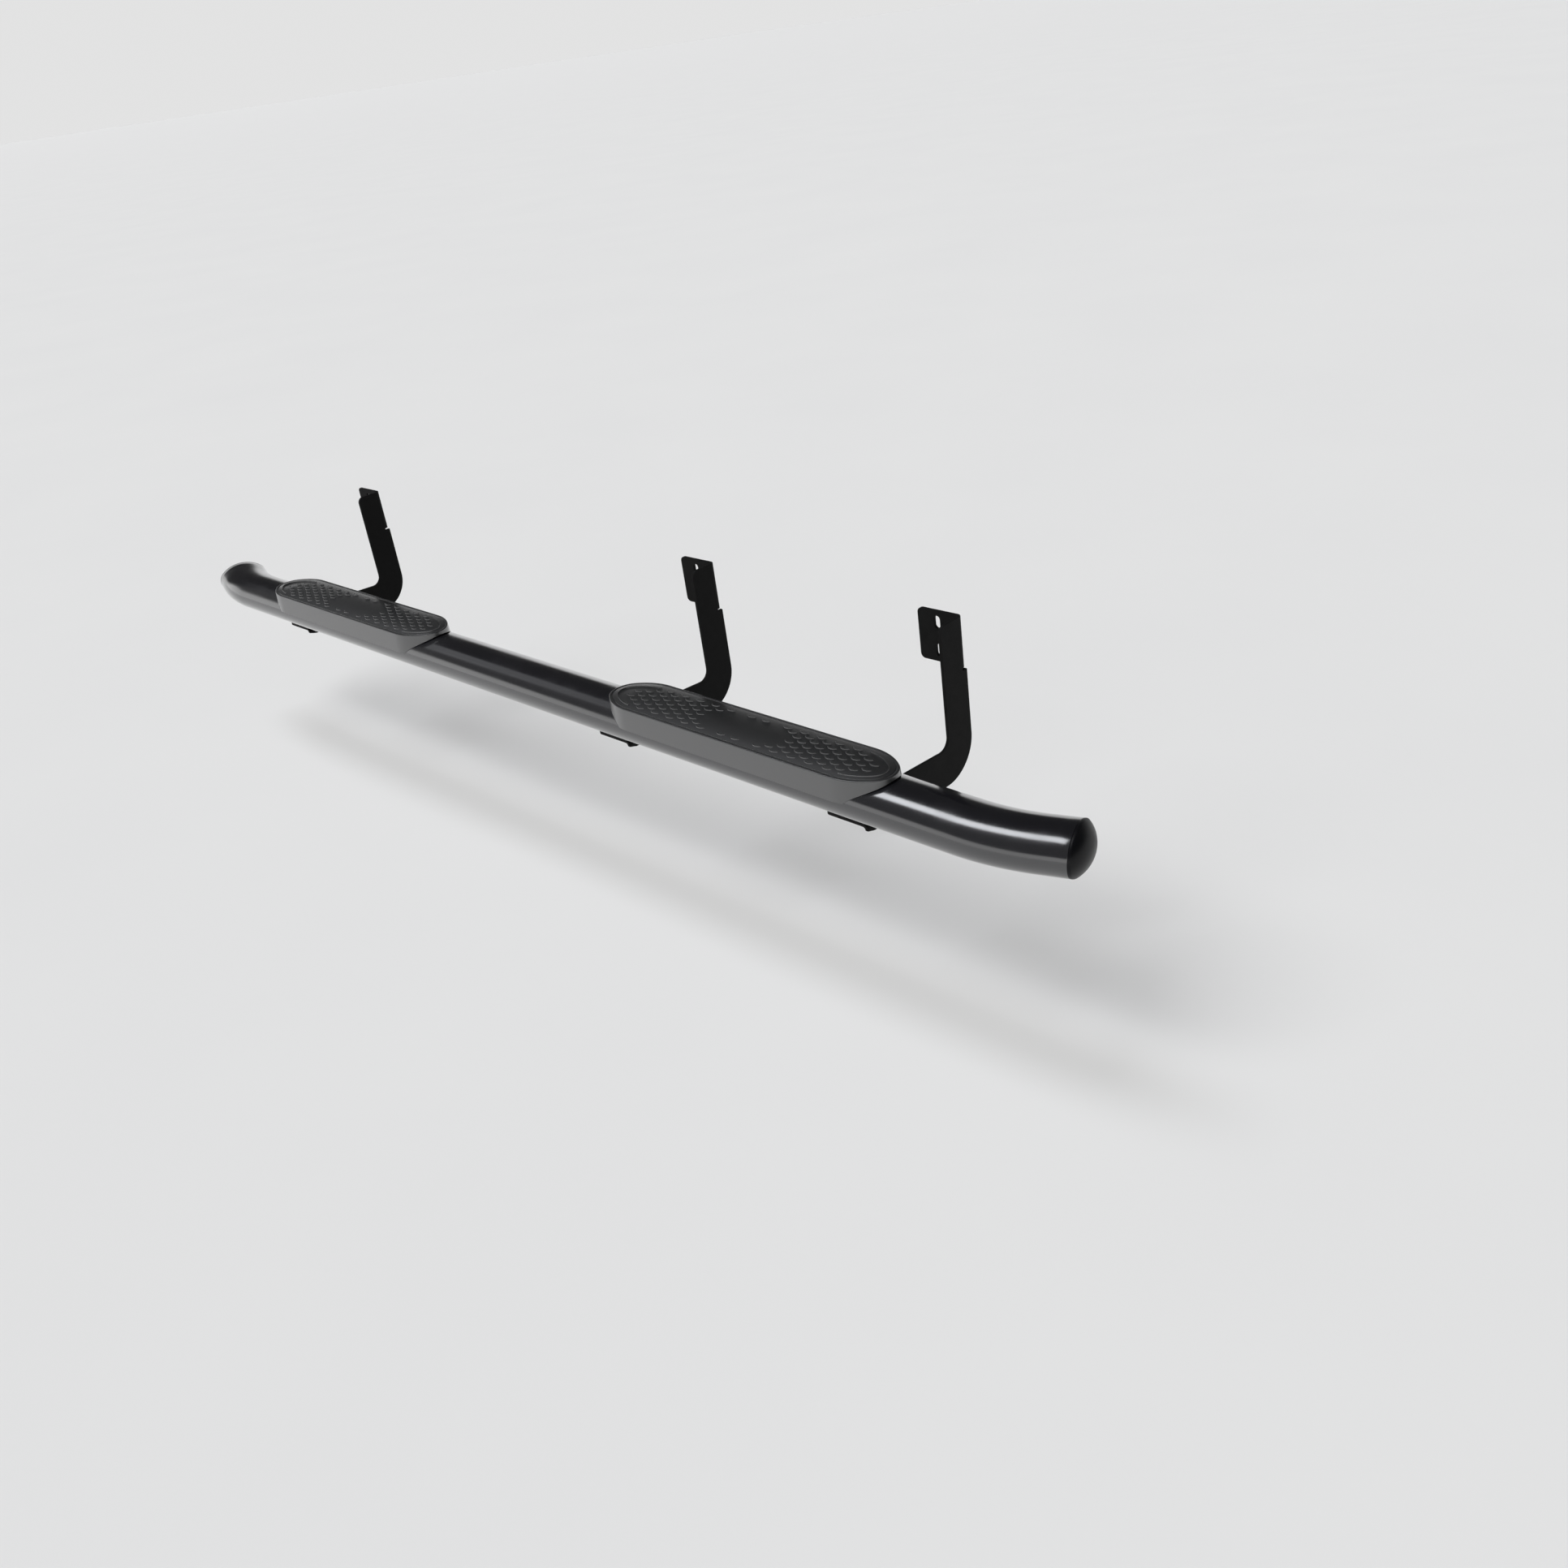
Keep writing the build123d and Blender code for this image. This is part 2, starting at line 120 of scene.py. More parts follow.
class Slot(Enum):
    """The record's material slots."""

    TUBE = "tube_coat"
    BRACKET = "bracket_coat"
    TREAD = "tread_plastic"
    CAP = "cap_plastic"
    CLIP = "clip_plastic"
    ZINC = "plated_steel"
    FASTENER = "dark_fastener"


# Meshes


def link(name: str, data: bpy.types.ID) -> Piece:
    """Put a mesh, curve, lamp or camera into the scene under a name."""
    piece = bpy.data.objects.new(name, data)
    bpy.context.scene.collection.objects.link(piece)
    return piece


def mesh_from(name: str, vertices: Sequence[Vector], faces: Sequence[Sequence[int]]) -> Piece:
    """Make an object of a mesh given in millimetres.

    Args:
        name: the object's name.
        vertices: the corner points, in millimetres.
        faces: the corners of each face, by number.

    Returns:
        The object, its mesh in metres.
    """
    mesh = bpy.data.meshes.new(name)
    mesh.from_pydata([tuple(v * MM) for v in vertices], [], faces)
    mesh.validate()
    return link(name, mesh)


@contextmanager
def open_mesh(piece: Piece) -> Iterator[bmesh.types.BMesh]:
    """Open a piece's mesh for editing, and keep what was changed.

    Args:
        piece: the piece.

    Yields:
        The mesh.
    """
    shape = bmesh.new()
    shape.from_mesh(piece.data)
    yield shape
    shape.to_mesh(piece.data)
    shape.free()


def tidy_mesh(piece: Piece) -> None:
    """Merge a piece's doubled points and turn all its faces outwards."""
    with open_mesh(piece) as shape:
        bmesh.ops.remove_doubles(shape, verts=shape.verts, dist=MERGE_DISTANCE)
        bmesh.ops.recalc_face_normals(shape, faces=shape.faces)


def ring_shell(name: str, rings: Sequence[Ring]) -> Piece:
    """Join a row of rings, all with as many points, into one closed skin.

    Args:
        name: the object's name.
        rings: the rings in order, in millimetres.

    Returns:
        The skin, its faces turned outwards.
    """
    count = len(rings[0])
    vertices = [point for ring in rings for point in ring]
    faces: List[Sequence[int]] = []
    for low in range(0, len(vertices) - count, count):
        high = low + count
        for i in range(count):
            j = (i + 1) % count
            faces.append((low + i, low + j, high + j, high + i))
    faces.append(tuple(range(count - 1, -1, -1)))
    faces.append(tuple(range(len(vertices) - count, len(vertices))))
    piece = mesh_from(name, vertices, faces)
    tidy_mesh(piece)
    return piece


def mark_edges(shape: bmesh.types.BMesh) -> None:
    """Shade a mesh smooth, with its sharp edges kept as edges.

    Args:
        shape: the open mesh.
    """
    for face in shape.faces:
        face.smooth = True
    for edge in shape.edges:
        edge.smooth = len(edge.link_faces) == 2 and edge.calc_face_angle(math.pi) < SHARP_ANGLE


def freeze(piece: Piece) -> None:
    """Turn a piece's modifiers into its plain mesh.

    Args:
        piece: the piece.
    """
    bpy.context.view_layer.update()
    graph = bpy.context.evaluated_depsgraph_get()
    mesh = bpy.data.meshes.new_from_object(piece.evaluated_get(graph))
    piece.modifiers.clear()
    piece.data = mesh


def cut(piece: Piece, tool: Piece, operation: str = "DIFFERENCE") -> None:
    """Cut a piece with a tool, or join the tool to it, and throw the tool away.

    Args:
        piece: the object that is changed.
        tool: the object that cuts or is added.
        operation: one of Blender's boolean operations.
    """
    modifier = piece.modifiers.new("cut", "BOOLEAN")
    modifier.operation = operation
    modifier.solver = "EXACT"
    modifier.use_self = operation != "DIFFERENCE"
    modifier.object = tool
    freeze(piece)
    bpy.data.objects.remove(tool)


def add_bevel(piece: Piece, width: float, segments: int, angle: float) -> bpy.types.Modifier:
    """Add a modifier that rounds a piece's edges.

    Args:
        piece: the piece.
        width: the width of the rounding, in millimetres.
        segments: faces across the rounding.
        angle: the smallest angle that is rounded.

    Returns:
        The modifier.
    """
    bevel = piece.modifiers.new("edges", "BEVEL")
    bevel.width = width * MM
    bevel.segments = segments
    bevel.limit_method = "ANGLE"
    bevel.angle_limit = angle
    return bevel


def merge(piece: Piece, others: Sequence[Piece]) -> None:
    """Add the meshes of other objects to a piece, as moulded with it.

    Args:
        piece: the object that is changed.
        others: the objects that are added, and thrown away.
    """
    with open_mesh(piece) as shape:
        for other in others:
            shape.from_mesh(other.data)
            bpy.data.objects.remove(other)


def place(piece: Piece, matrix: Matrix) -> None:
    """Move a piece's mesh, and leave its object at the origin."""
    piece.data.transform(matrix)
    piece.data.update()


def post(name: str, centre: Vector, radius: float, height: float, sides: int = 32) -> Piece:
    """Make an upright round bar, in millimetres.

    Args:
        name: the object's name.
        centre: the point that it is centred on.
        radius: its radius.
        height: its height.
        sides: how many faces it has round it.

    Returns:
        The bar.
    """
    turn = 2 * math.pi / sides
    rim = [Vector((radius * math.cos(turn * i), radius * math.sin(turn * i), 0)) for i in range(sides)]
    rings = [[centre + p + Vector((0, 0, z)) for p in rim] for z in (-height / 2, height / 2)]
    return ring_shell(name, rings)


def block(name: str, centre: Vector, size: Vector) -> Piece:
    """Make a box, in millimetres.

    Args:
        name: the object's name.
        centre: the point that it is centred on.
        size: its three sizes.

    Returns:
        The box.
    """
    half = size / 2
    corners = [(-half.x, -half.y), (half.x, -half.y), (half.x, half.y), (-half.x, half.y)]
    rings = [[centre + Vector((x, y, z)) for x, y in corners] for z in (-half.z, half.z)]
    return ring_shell(name, rings)


def poly_curve(name: str, points: Sequence[Vector], closed: bool) -> Piece:
    """Make a curve object with straight runs between points given in millimetres.

    Args:
        name: the curve's name.
        points: its points in order.
        closed: whether its ends meet.

    Returns:
        The curve object.
    """
    curve = bpy.data.curves.new(name, "CURVE")
    curve.dimensions = "3D"
    spline = curve.splines.new("POLY")
    spline.points.add(len(points) - 1)
    for item, point in zip(spline.points, points):
        item.co = (*(point * MM), 1.0)
    spline.use_cyclic_u = closed
    return link(name, curve)


# Outlines


@dataclass(frozen=True)
class Oval:
    """An oval of four arcs, two round its tips and two along its sides.

    Sizes are millimetres. Its points go by the direction that they face, so an oval that is
    smaller all round has its points on the same normals.
    """

    half_width: float
    half_height: float
    tip_radius: float

    @property
    def side_radius(self) -> float:
        """Radius of the two long arcs, tangent to the tips."""
        a, b, r = self.half_width, self.half_height, self.tip_radius
        return (a * a + b * b - 2 * a * r) / (2 * (b - r))

    @property
    def join_angle(self) -> float:
        """Direction, from the long axis, at which a tip arc meets a side arc."""
        return math.atan2(self.side_radius - self.half_height, self.half_width - self.tip_radius)

    def sample(self, angle: float) -> Sample:
        """Give the point that faces one direction, and that direction.

        Args:
            angle: the direction, in radians from the long axis.

        Returns:
            The point and its outward normal, in the oval's own plane.
        """
        normal = Vector((math.cos(angle), math.sin(angle)))
        if abs(normal.y) < math.sin(self.join_angle):
            centre = Vector((math.copysign(self.half_width - self.tip_radius, normal.x), 0))
            return centre + normal * self.tip_radius, normal
        centre = Vector((0, -math.copysign(self.side_radius - self.half_height, normal.y)))
        return centre + normal * self.side_radius, normal

    def samples(self, count: int) -> List[Sample]:
        """Points all round the oval, denser where it turns more tightly."""
        return [self.sample(2 * math.pi * (i + 0.5) / count) for i in range(count)]


TUBE_OVAL = Oval(50.8, 34.5, 27.0)


def inset_ring(samples: Sequence[Sample], inset: float, height: float) -> Ring:
    """A level ring that keeps one distance inside an outline.

    Args:
        samples: the outline's points and normals.
        inset: the distance inwards, in millimetres.
        height: the ring's height.

    Returns:
        The ring's points.
    """
    return [Vector((*(point - normal * inset), height)) for point, normal in samples]


# Node trees


class Nodes:
    """Short ways to add, link and fill the nodes of one tree."""

    prefix = "ShaderNode"

    def __init__(self, tree: Tree) -> None:
        """Work on one tree."""
        self.tree = tree

    def add(self, kind: str, **values: object) -> Node:
        """Add a node and set its inputs.

        Args:
            kind: the node's type name without its prefix.
            values: its inputs by name, spaces as underscores.

        Returns:
            The new node.
        """
        node = self.tree.nodes.new(self.prefix + kind)
        self.fill(node, **values)
        return node

    def feed(self, value: object, socket: Socket) -> None:
        """Link a socket to an input, or set the input's value.

        Args:
            value: a socket, or the value itself.
            socket: the input.
        """
        if isinstance(value, Socket):
            self.tree.links.new(value, socket)
        else:
            socket.default_value = value

    def fill(self, node: Node, **values: object) -> None:
        """Link or set a node's inputs, given by name with spaces as underscores."""
        for key, value in values.items():
            self.feed(value, node.inputs[key.replace("_", " ")])

    def maths(self, operation: str, *values: object) -> Socket:
        """Add one sum on numbers.

        Args:
            operation: Blender's name for the sum.
            values: its numbers, each a socket or a value.

        Returns:
            The result.
        """
        node = self.tree.nodes.new("ShaderNodeMath")
        node.operation = operation
        for value, socket in zip(values, node.inputs):
            self.feed(value, socket)
        return node.outputs[0]


class Shading(Nodes):
    """More short ways, for one shader tree."""

    def spread(self, value: Socket, low: object, high: object, to_low: float, to_high: float) -> Socket:
        """Map a value from one range to another, smoothly and within it.

        Args:
            value: the value.
            low: the start of its range.
            high: the end of its range.
            to_low: what the start becomes.
            to_high: what the end becomes.

        Returns:
            The mapped value.
        """
        node = self.add("MapRange")
        node.interpolation_type = "SMOOTHSTEP"
        for item, socket in zip((value, low, high, to_low, to_high), node.inputs):
            self.feed(item, socket)
        return node.outputs[0]

    def blend(self, share: Socket, first: object, second: object) -> Socket:
        """Mix two colours.

        Args:
            share: how much of the second there is.
            first: the first colour.
            second: the second colour.

        Returns:
            The mixed colour.
        """
        node = self.add("Mix")
        node.data_type = "RGBA"
        # the node has sockets for every type, and these are its share and its colours
        for value, socket in ((share, 0), (first, 6), (second, 7)):
            self.feed(value, node.inputs[socket])
        return node.outputs[2]

    def place(self, group: Tree, **values: object) -> Node:
        """Place a group with its own values.

        Args:
            group: the group.
            values: its inputs by name, spaces as underscores.

        Returns:
            The group's node.
        """
        node = self.add("Group")
        node.node_tree = group
        self.fill(node, **values)
        return node


def shader_group(name: str, inputs: Dict[str, float], outputs: Sequence[str]) -> Tuple[Shading, Node, Node]:
    """Start a shader group with number inputs and outputs.

    Args:
        name: the group's name.
        inputs: each input's name and default value.
        outputs: the outputs' names.

    Returns:
        The group's helper, its input node and its output node.
    """
    tree = bpy.data.node_groups.new(name, "ShaderNodeTree")
    for label, value in inputs.items():
        socket = tree.interface.new_socket(label, in_out="INPUT", socket_type="NodeSocketFloat")
        socket.default_value = value
    for label in outputs:
        tree.interface.new_socket(label, in_out="OUTPUT", socket_type="NodeSocketFloat")
    return Shading(tree), tree.nodes.new("NodeGroupInput"), tree.nodes.new("NodeGroupOutput")


def build_orange_peel() -> Tree:
    """The slow ripple of a powder coat, its height and its change of gloss."""
    shade, given, out = shader_group("coat_ripple", {"Size": 220.0, "Speck": 2600.0}, ("Height", "Gloss"))
    size, speck_size = given.outputs["Size"], given.outputs["Speck"]
    where = shade.add("TexCoord").outputs["Object"]
    ripple = shade.add("TexNoise", Vector=where, Scale=size, Detail=2.0, Roughness=0.4).outputs["Fac"]
    speck = shade.add("TexNoise", Vector=where, Scale=speck_size, Detail=1.0, Roughness=0.5).outputs["Fac"]
    cloud = shade.add("TexNoise", Vector=where, Scale=9.0, Detail=4.0, Roughness=0.6).outputs["Fac"]
    height = shade.maths("MULTIPLY_ADD", speck, 0.18, ripple)
    shade.fill(out, Height=height, Gloss=shade.spread(cloud, 0.35, 0.7, 0.0, 1.0))
    return shade.tree


def build_grain() -> Tree:
    """The fine stipple of a textured moulding or a textured coat."""
    shade, given, out = shader_group("fine_grain", {"Size": 900.0, "Softness": 0.5}, ("Height", "Pits"))
    size, softness = given.outputs["Size"], given.outputs["Softness"]
    where = shade.add("TexCoord").outputs["Object"]
    cells = shade.add("TexVoronoi", Vector=where, Scale=size, Randomness=1.0).outputs["Distance"]
    finer = shade.maths("MULTIPLY", size, 1.9)
    dust = shade.add("TexNoise", Vector=where, Scale=finer, Detail=2.0).outputs["Fac"]
    height = shade.blend(softness, cells, dust)
    shade.fill(out, Height=height, Pits=shade.spread(cells, 0.15, 0.55, 0.0, 1.0))
    return shade.tree


def build_edge_wear_and_highlight() -> Tree:
    """Where edges stick out, broken up by noise: scuffed edges, and a painted highlight along the edges."""
    inputs = {"Start": 0.53, "End": 0.62, "Breakup": 60.0}
    shade, given, out = shader_group("rubbed_edges", inputs, ("Mask",))
    start, end, breakup = (given.outputs[label] for label in inputs)
    where = shade.add("TexCoord").outputs["Object"]
    point = shade.add("NewGeometry").outputs["Pointiness"]
    patch = shade.add("TexNoise", Vector=where, Scale=breakup, Detail=5.0, Roughness=0.65).outputs["Fac"]
    edge = shade.spread(point, start, end, 0.0, 1.0)
    broken = shade.spread(patch, 0.38, 0.62, 0.0, 1.0)
    shade.fill(out, Mask=shade.maths("MULTIPLY", edge, broken))
    return shade.tree


def build_dust() -> Tree:
    """A thin film of dust on what faces up."""
    shade, given, out = shader_group("settled_dust", {"Amount": 0.1, "Patch": 14.0}, ("Mask",))
    amount, patch = given.outputs["Amount"], given.outputs["Patch"]
    where = shade.add("TexCoord").outputs["Object"]
    normal = shade.add("NewGeometry").outputs["Normal"]
    facing = shade.add("SeparateXYZ", Vector=normal).outputs["Z"]
    film = shade.add("TexNoise", Vector=where, Scale=patch, Detail=6.0, Roughness=0.7).outputs["Fac"]
    up = shade.spread(facing, 0.55, 1.0, 0.0, 1.0)
    thick = shade.spread(film, 0.4, 0.75, 0.2, 1.0)
    shade.fill(out, Mask=shade.maths("MULTIPLY", shade.maths("MULTIPLY", up, thick), amount))
    return shade.tree


@dataclass(frozen=True)
class Effects:
    """The shared shader groups, each built once."""

    ripple: Tree
    grain: Tree
    edge_wear_and_highlight: Tree
    dust: Tree

    @classmethod
    def build(cls) -> "Effects":
        """Build the four groups."""
        return cls(build_orange_peel(), build_grain(), build_edge_wear_and_highlight(), build_dust())


# Finishes


def start_material(name: str) -> Tuple[bpy.types.Material, Shading, Node]:
    """Start a material with one Principled shader.

    Args:
        name: the material's name.

    Returns:
        The material, its node helper and its shader node.
    """
    material = bpy.data.materials.new(name)
    material.use_nodes = True
    material.node_tree.nodes.clear()
    shade = Shading(material.node_tree)
    surface = shade.add("BsdfPrincipled")
    shade.add("OutputMaterial", Surface=surface.outputs["BSDF"])
    return material, shade, surface


@dataclass(frozen=True)
class GlossCoat:
    """A smooth gloss powder coat or a polished moulding."""

    name: str
    slot: Slot
    colour: Triple
    roughness: float
    ripple_size: float
    ripple_depth: float
    dust: float
    specular: float
    lacquer: float
    unevenness: float = 1.5
    bump: float = 0.5
    dust_colour: Triple = (0.22, 0.21, 0.195)
    dust_roughness: float = 0.6
    refraction: float = 1.5
    lacquer_roughness: float = 0.12

    def build(self, effects: Effects) -> bpy.types.Material:
        """Make the material.

        Args:
            effects: the shared shader groups.

        Returns:
            The material.
        """
        material, shade, surface = start_material(self.name)
        ripple = shade.place(effects.ripple, Size=self.ripple_size).outputs
        dust = shade.place(effects.dust, Amount=self.dust).outputs["Mask"]
        polish = shade.spread(ripple["Gloss"], 0.0, 1.0, self.roughness, self.roughness * self.unevenness)
        depth = self.ripple_depth * MM
        relief = shade.add("Bump", Strength=self.bump, Distance=depth, Height=ripple["Height"])
        shade.fill(
            surface,
            Base_Color=shade.blend(dust, (*self.colour, 1), (*self.dust_colour, 1)),
            Roughness=shade.maths("ADD", polish, shade.maths("MULTIPLY", dust, self.dust_roughness)),
            Normal=relief.outputs["Normal"],
            IOR=self.refraction,
            Specular_IOR_Level=self.specular,
            Coat_Weight=self.lacquer,
            Coat_Roughness=self.lacquer_roughness,
        )
        return material


@dataclass(frozen=True)
class GrainedFinish:
    """A surface with a fine grain, moulded or sprayed, its edges lightened by a painted highlight."""

    name: str
    slot: Slot
    colour: Triple
    worn_and_highlit: Triple
    roughness: float
    grain_size: float
    grain_depth: float
    edge_wear_and_highlight: float
    dust: float
    specular: float = 0.5
    lacquer: float = 0.0
    refraction: float = 1.5
    pit_colour: Triple = (0.003, 0.003, 0.003)
    pit_share: float = 0.35
    pit_roughness: float = 1.2
    wear_polish: float = 0.12
    bump: float = 0.6
    dust_colour: Triple = (0.24, 0.23, 0.21)
    lacquer_roughness: float = 0.2

    def build(self, effects: Effects) -> bpy.types.Material:
        """Make the material.

        Args:
            effects: the shared shader groups.

        Returns:
            The material.
        """
        material, shade, surface = start_material(self.name)
        grain = shade.place(effects.grain, Size=self.grain_size).outputs
        # painted highlight: the edges that stick out take the lighter edge colour below, partly as scuffing
        wear_and_highlight_mask = shade.maths("MULTIPLY", shade.place(effects.edge_wear_and_highlight).outputs["Mask"], self.edge_wear_and_highlight)
        dust = shade.place(effects.dust, Amount=self.dust).outputs["Mask"]
        pits = shade.maths("MULTIPLY", grain["Pits"], self.pit_share)
        pitted = shade.blend(pits, (*self.colour, 1), (*self.pit_colour, 1))
        worn_and_highlit = shade.blend(wear_and_highlight_mask, pitted, (*self.worn_and_highlit, 1))
        rough = shade.spread(grain["Pits"], 0.0, 1.0, self.roughness, self.roughness * self.pit_roughness)
        depth = self.grain_depth * MM
        relief = shade.add("Bump", Strength=self.bump, Distance=depth, Height=grain["Height"])
        shade.fill(
            surface,
            Base_Color=shade.blend(dust, worn_and_highlit, (*self.dust_colour, 1)),
            Roughness=shade.maths("SUBTRACT", rough, shade.maths("MULTIPLY", wear_and_highlight_mask, self.wear_polish)),
            Normal=relief.outputs["Normal"],
            IOR=self.refraction,
            Specular_IOR_Level=self.specular,
            Coat_Weight=self.lacquer,
            Coat_Roughness=self.lacquer_roughness,
        )
        return material


@dataclass(frozen=True)
class PlatedSteel:
    """Zinc plated steel, clear or black."""

    name: str
    slot: Slot
    colour: Triple
    bare: Triple
    roughness: float
    edge_wear_and_highlight: float
    grain_size: float = 1500.0
    grain_depth: float = 0.02
    cloud_size: float = 140.0
    wear_size: float = 220.0
    stain: float = 0.3
    unevenness: float = 0.15
    bump: float = 0.4

    def build(self, effects: Effects) -> bpy.types.Material:
        """Make the material.

        Args:
            effects: the shared shader groups.

        Returns:
            The material.
        """
        material, shade, surface = start_material(self.name)
        grain = shade.place(effects.grain, Size=self.grain_size).outputs
        cloud = shade.place(effects.ripple, Size=self.cloud_size).outputs
        # the edges that stick out turn to the bare colour: scuffing, and a painted highlight along them
        rubbing = shade.place(effects.edge_wear_and_highlight, Breakup=self.wear_size).outputs["Mask"]
        wear_and_highlight_mask = shade.maths("MULTIPLY", rubbing, self.edge_wear_and_highlight)
        stain = shade.maths("MULTIPLY", cloud["Gloss"], self.stain)
        stained = shade.blend(stain, (*self.colour, 1), (*self.bare, 1))
        depth = self.grain_depth * MM
        relief = shade.add("Bump", Strength=self.bump, Distance=depth, Height=grain["Height"])
        roughest = self.roughness + self.unevenness
        shade.fill(
            surface,
            Base_Color=shade.blend(wear_and_highlight_mask, stained, (*self.bare, 1)),
            Roughness=shade.spread(cloud["Height"], 0.3, 0.8, self.roughness, roughest),
            Normal=relief.outputs["Normal"],
            Metallic=1.0,
        )
        return material


# the lighter edge colours of the grained finishes are painted highlights along their edges
RECIPES = (
    GlossCoat(
        name="gloss_black_coat", slot=Slot.TUBE, colour=(0.006, 0.006, 0.008), roughness=0.15,
        ripple_size=160.0, ripple_depth=0.03, dust=0.006, specular=1.0, lacquer=1.0,
    ),
    GlossCoat(
        name="gloss_black_moulding", slot=Slot.CAP, colour=(0.004, 0.004, 0.005), roughness=0.3,
        ripple_size=300.0, ripple_depth=0.02, dust=0.004, specular=0.2, lacquer=0.0,
    ),
    GrainedFinish(
        name="matt_black_coat", slot=Slot.BRACKET, colour=(0.005, 0.005, 0.005), worn_and_highlit=(0.04, 0.04, 0.04),
        roughness=0.55, grain_size=1200.0, grain_depth=0.05, edge_wear_and_highlight=0.4, dust=0.005, specular=0.12,
    ),
    GrainedFinish(
        name="charcoal_tread", slot=Slot.TREAD, colour=(0.0115, 0.0119, 0.0128), worn_and_highlit=(0.045, 0.046, 0.052),
        roughness=0.34, grain_size=1100.0, grain_depth=0.04, edge_wear_and_highlight=0.4, dust=0.004, specular=1.0, lacquer=1.0,
        refraction=1.65,
    ),
    GrainedFinish(
        name="black_nylon", slot=Slot.CLIP, colour=(0.018, 0.018, 0.019), worn_and_highlit=(0.04, 0.04, 0.04),
        roughness=0.45, grain_size=1400.0, grain_depth=0.03, edge_wear_and_highlight=0.3, dust=0.0,
    ),
    PlatedSteel(
        name="clear_zinc", slot=Slot.ZINC, colour=(0.55, 0.55, 0.53), bare=(0.68, 0.68, 0.66),
        roughness=0.32, edge_wear_and_highlight=0.4,
    ),
    PlatedSteel(
        name="black_zinc", slot=Slot.FASTENER, colour=(0.05, 0.05, 0.055), bare=(0.35, 0.35, 0.34),
        roughness=0.38, edge_wear_and_highlight=0.3,
    ),
)


class Finishes:
    """Every finish on the bar, by slot."""

    def __init__(self) -> None:
        """Build each finish once."""
        effects = Effects.build()
        self.by_slot = {recipe.slot: recipe.build(effects) for recipe in RECIPES}

    def dress(self, piece: Piece, slot: Slot, *nodes: str) -> None:
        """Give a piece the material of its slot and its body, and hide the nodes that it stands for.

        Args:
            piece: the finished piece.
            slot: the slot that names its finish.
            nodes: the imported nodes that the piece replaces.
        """
        piece.data.materials.clear()
        piece.data.materials.append(self.by_slot[slot])
        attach(piece, BODY)
        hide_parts(*nodes)
        log.info("%s: %d faces, %s", piece.name, len(piece.data.polygons), slot.value)


# Geometry trees


class Growing(Nodes):
    """One geometry tree with named inputs, and short ways to add its nodes."""

    prefix = "GeometryNode"
    kinds = {float: "Float", int: "Int", type(None): "Object"}

    def __init__(self, name: str, inputs: Dict[str, object]) -> None:
        """Start a tree with named inputs and a material.

        Args:
            name: the tree's name.
            inputs: each input's name and default number, or None for an object.
        """
        super().__init__(bpy.data.node_groups.new(name, "GeometryNodeTree"))
        sockets = self.tree.interface
        self.names: Dict[str, str] = {}
        for label, value in inputs.items():
            kind = "NodeSocket" + self.kinds[type(value)]
            socket = sockets.new_socket(label, in_out="INPUT", socket_type=kind)
            self.names[label] = socket.identifier
            if value is not None:
                socket.default_value = value
        sockets.new_socket("Material", in_out="INPUT", socket_type="NodeSocketMaterial")
        sockets.new_socket("Geometry", in_out="OUTPUT", socket_type="NodeSocketGeometry")
        self.given = self.tree.nodes.new("NodeGroupInput").outputs
        self.result = self.tree.nodes.new("NodeGroupOutput")

    def vector(self, x: Socket, y: Socket, z: Socket) -> Socket:
        """Join three numbers into a point.

        Args:
            x: the first number.
            y: the second number.
            z: the third number.

        Returns:
            The point.
        """
        node = self.tree.nodes.new("ShaderNodeCombineXYZ")
        self.fill(node, X=x, Y=y, Z=z)
        return node.outputs[0]

    def shape_of(self, label: str) -> Socket:
        """The geometry of the object that one of the tree's inputs names."""
        return self.add("ObjectInfo", Object=self.given[label]).outputs["Geometry"]

    def finish(self, geometry: Socket) -> None:
        """End the tree: instances made real and the material set.

        Args:
            geometry: what the tree has made.
        """
        real = self.add("RealizeInstances", Geometry=geometry).outputs[0]
        painted = self.add("SetMaterial", Geometry=real, Material=self.given["Material"]).outputs[0]
        self.feed(painted, self.result.inputs["Geometry"])

    def run(self, name: str, **values: object) -> Piece:
        """Evaluate the tree into a new plain mesh object.

        Args:
            name: the new object's name.
            values: the tree's inputs by name, spaces as underscores.

        Returns:
            The new object, with no modifier on it.
        """
        piece = link(name, bpy.data.meshes.new(name))
        modifier = piece.modifiers.new("grow", "NODES")
        modifier.node_group = self.tree
        for key, value in values.items():
            modifier[self.names[key.replace("_", " ")]] = value
        freeze(piece)
        return piece


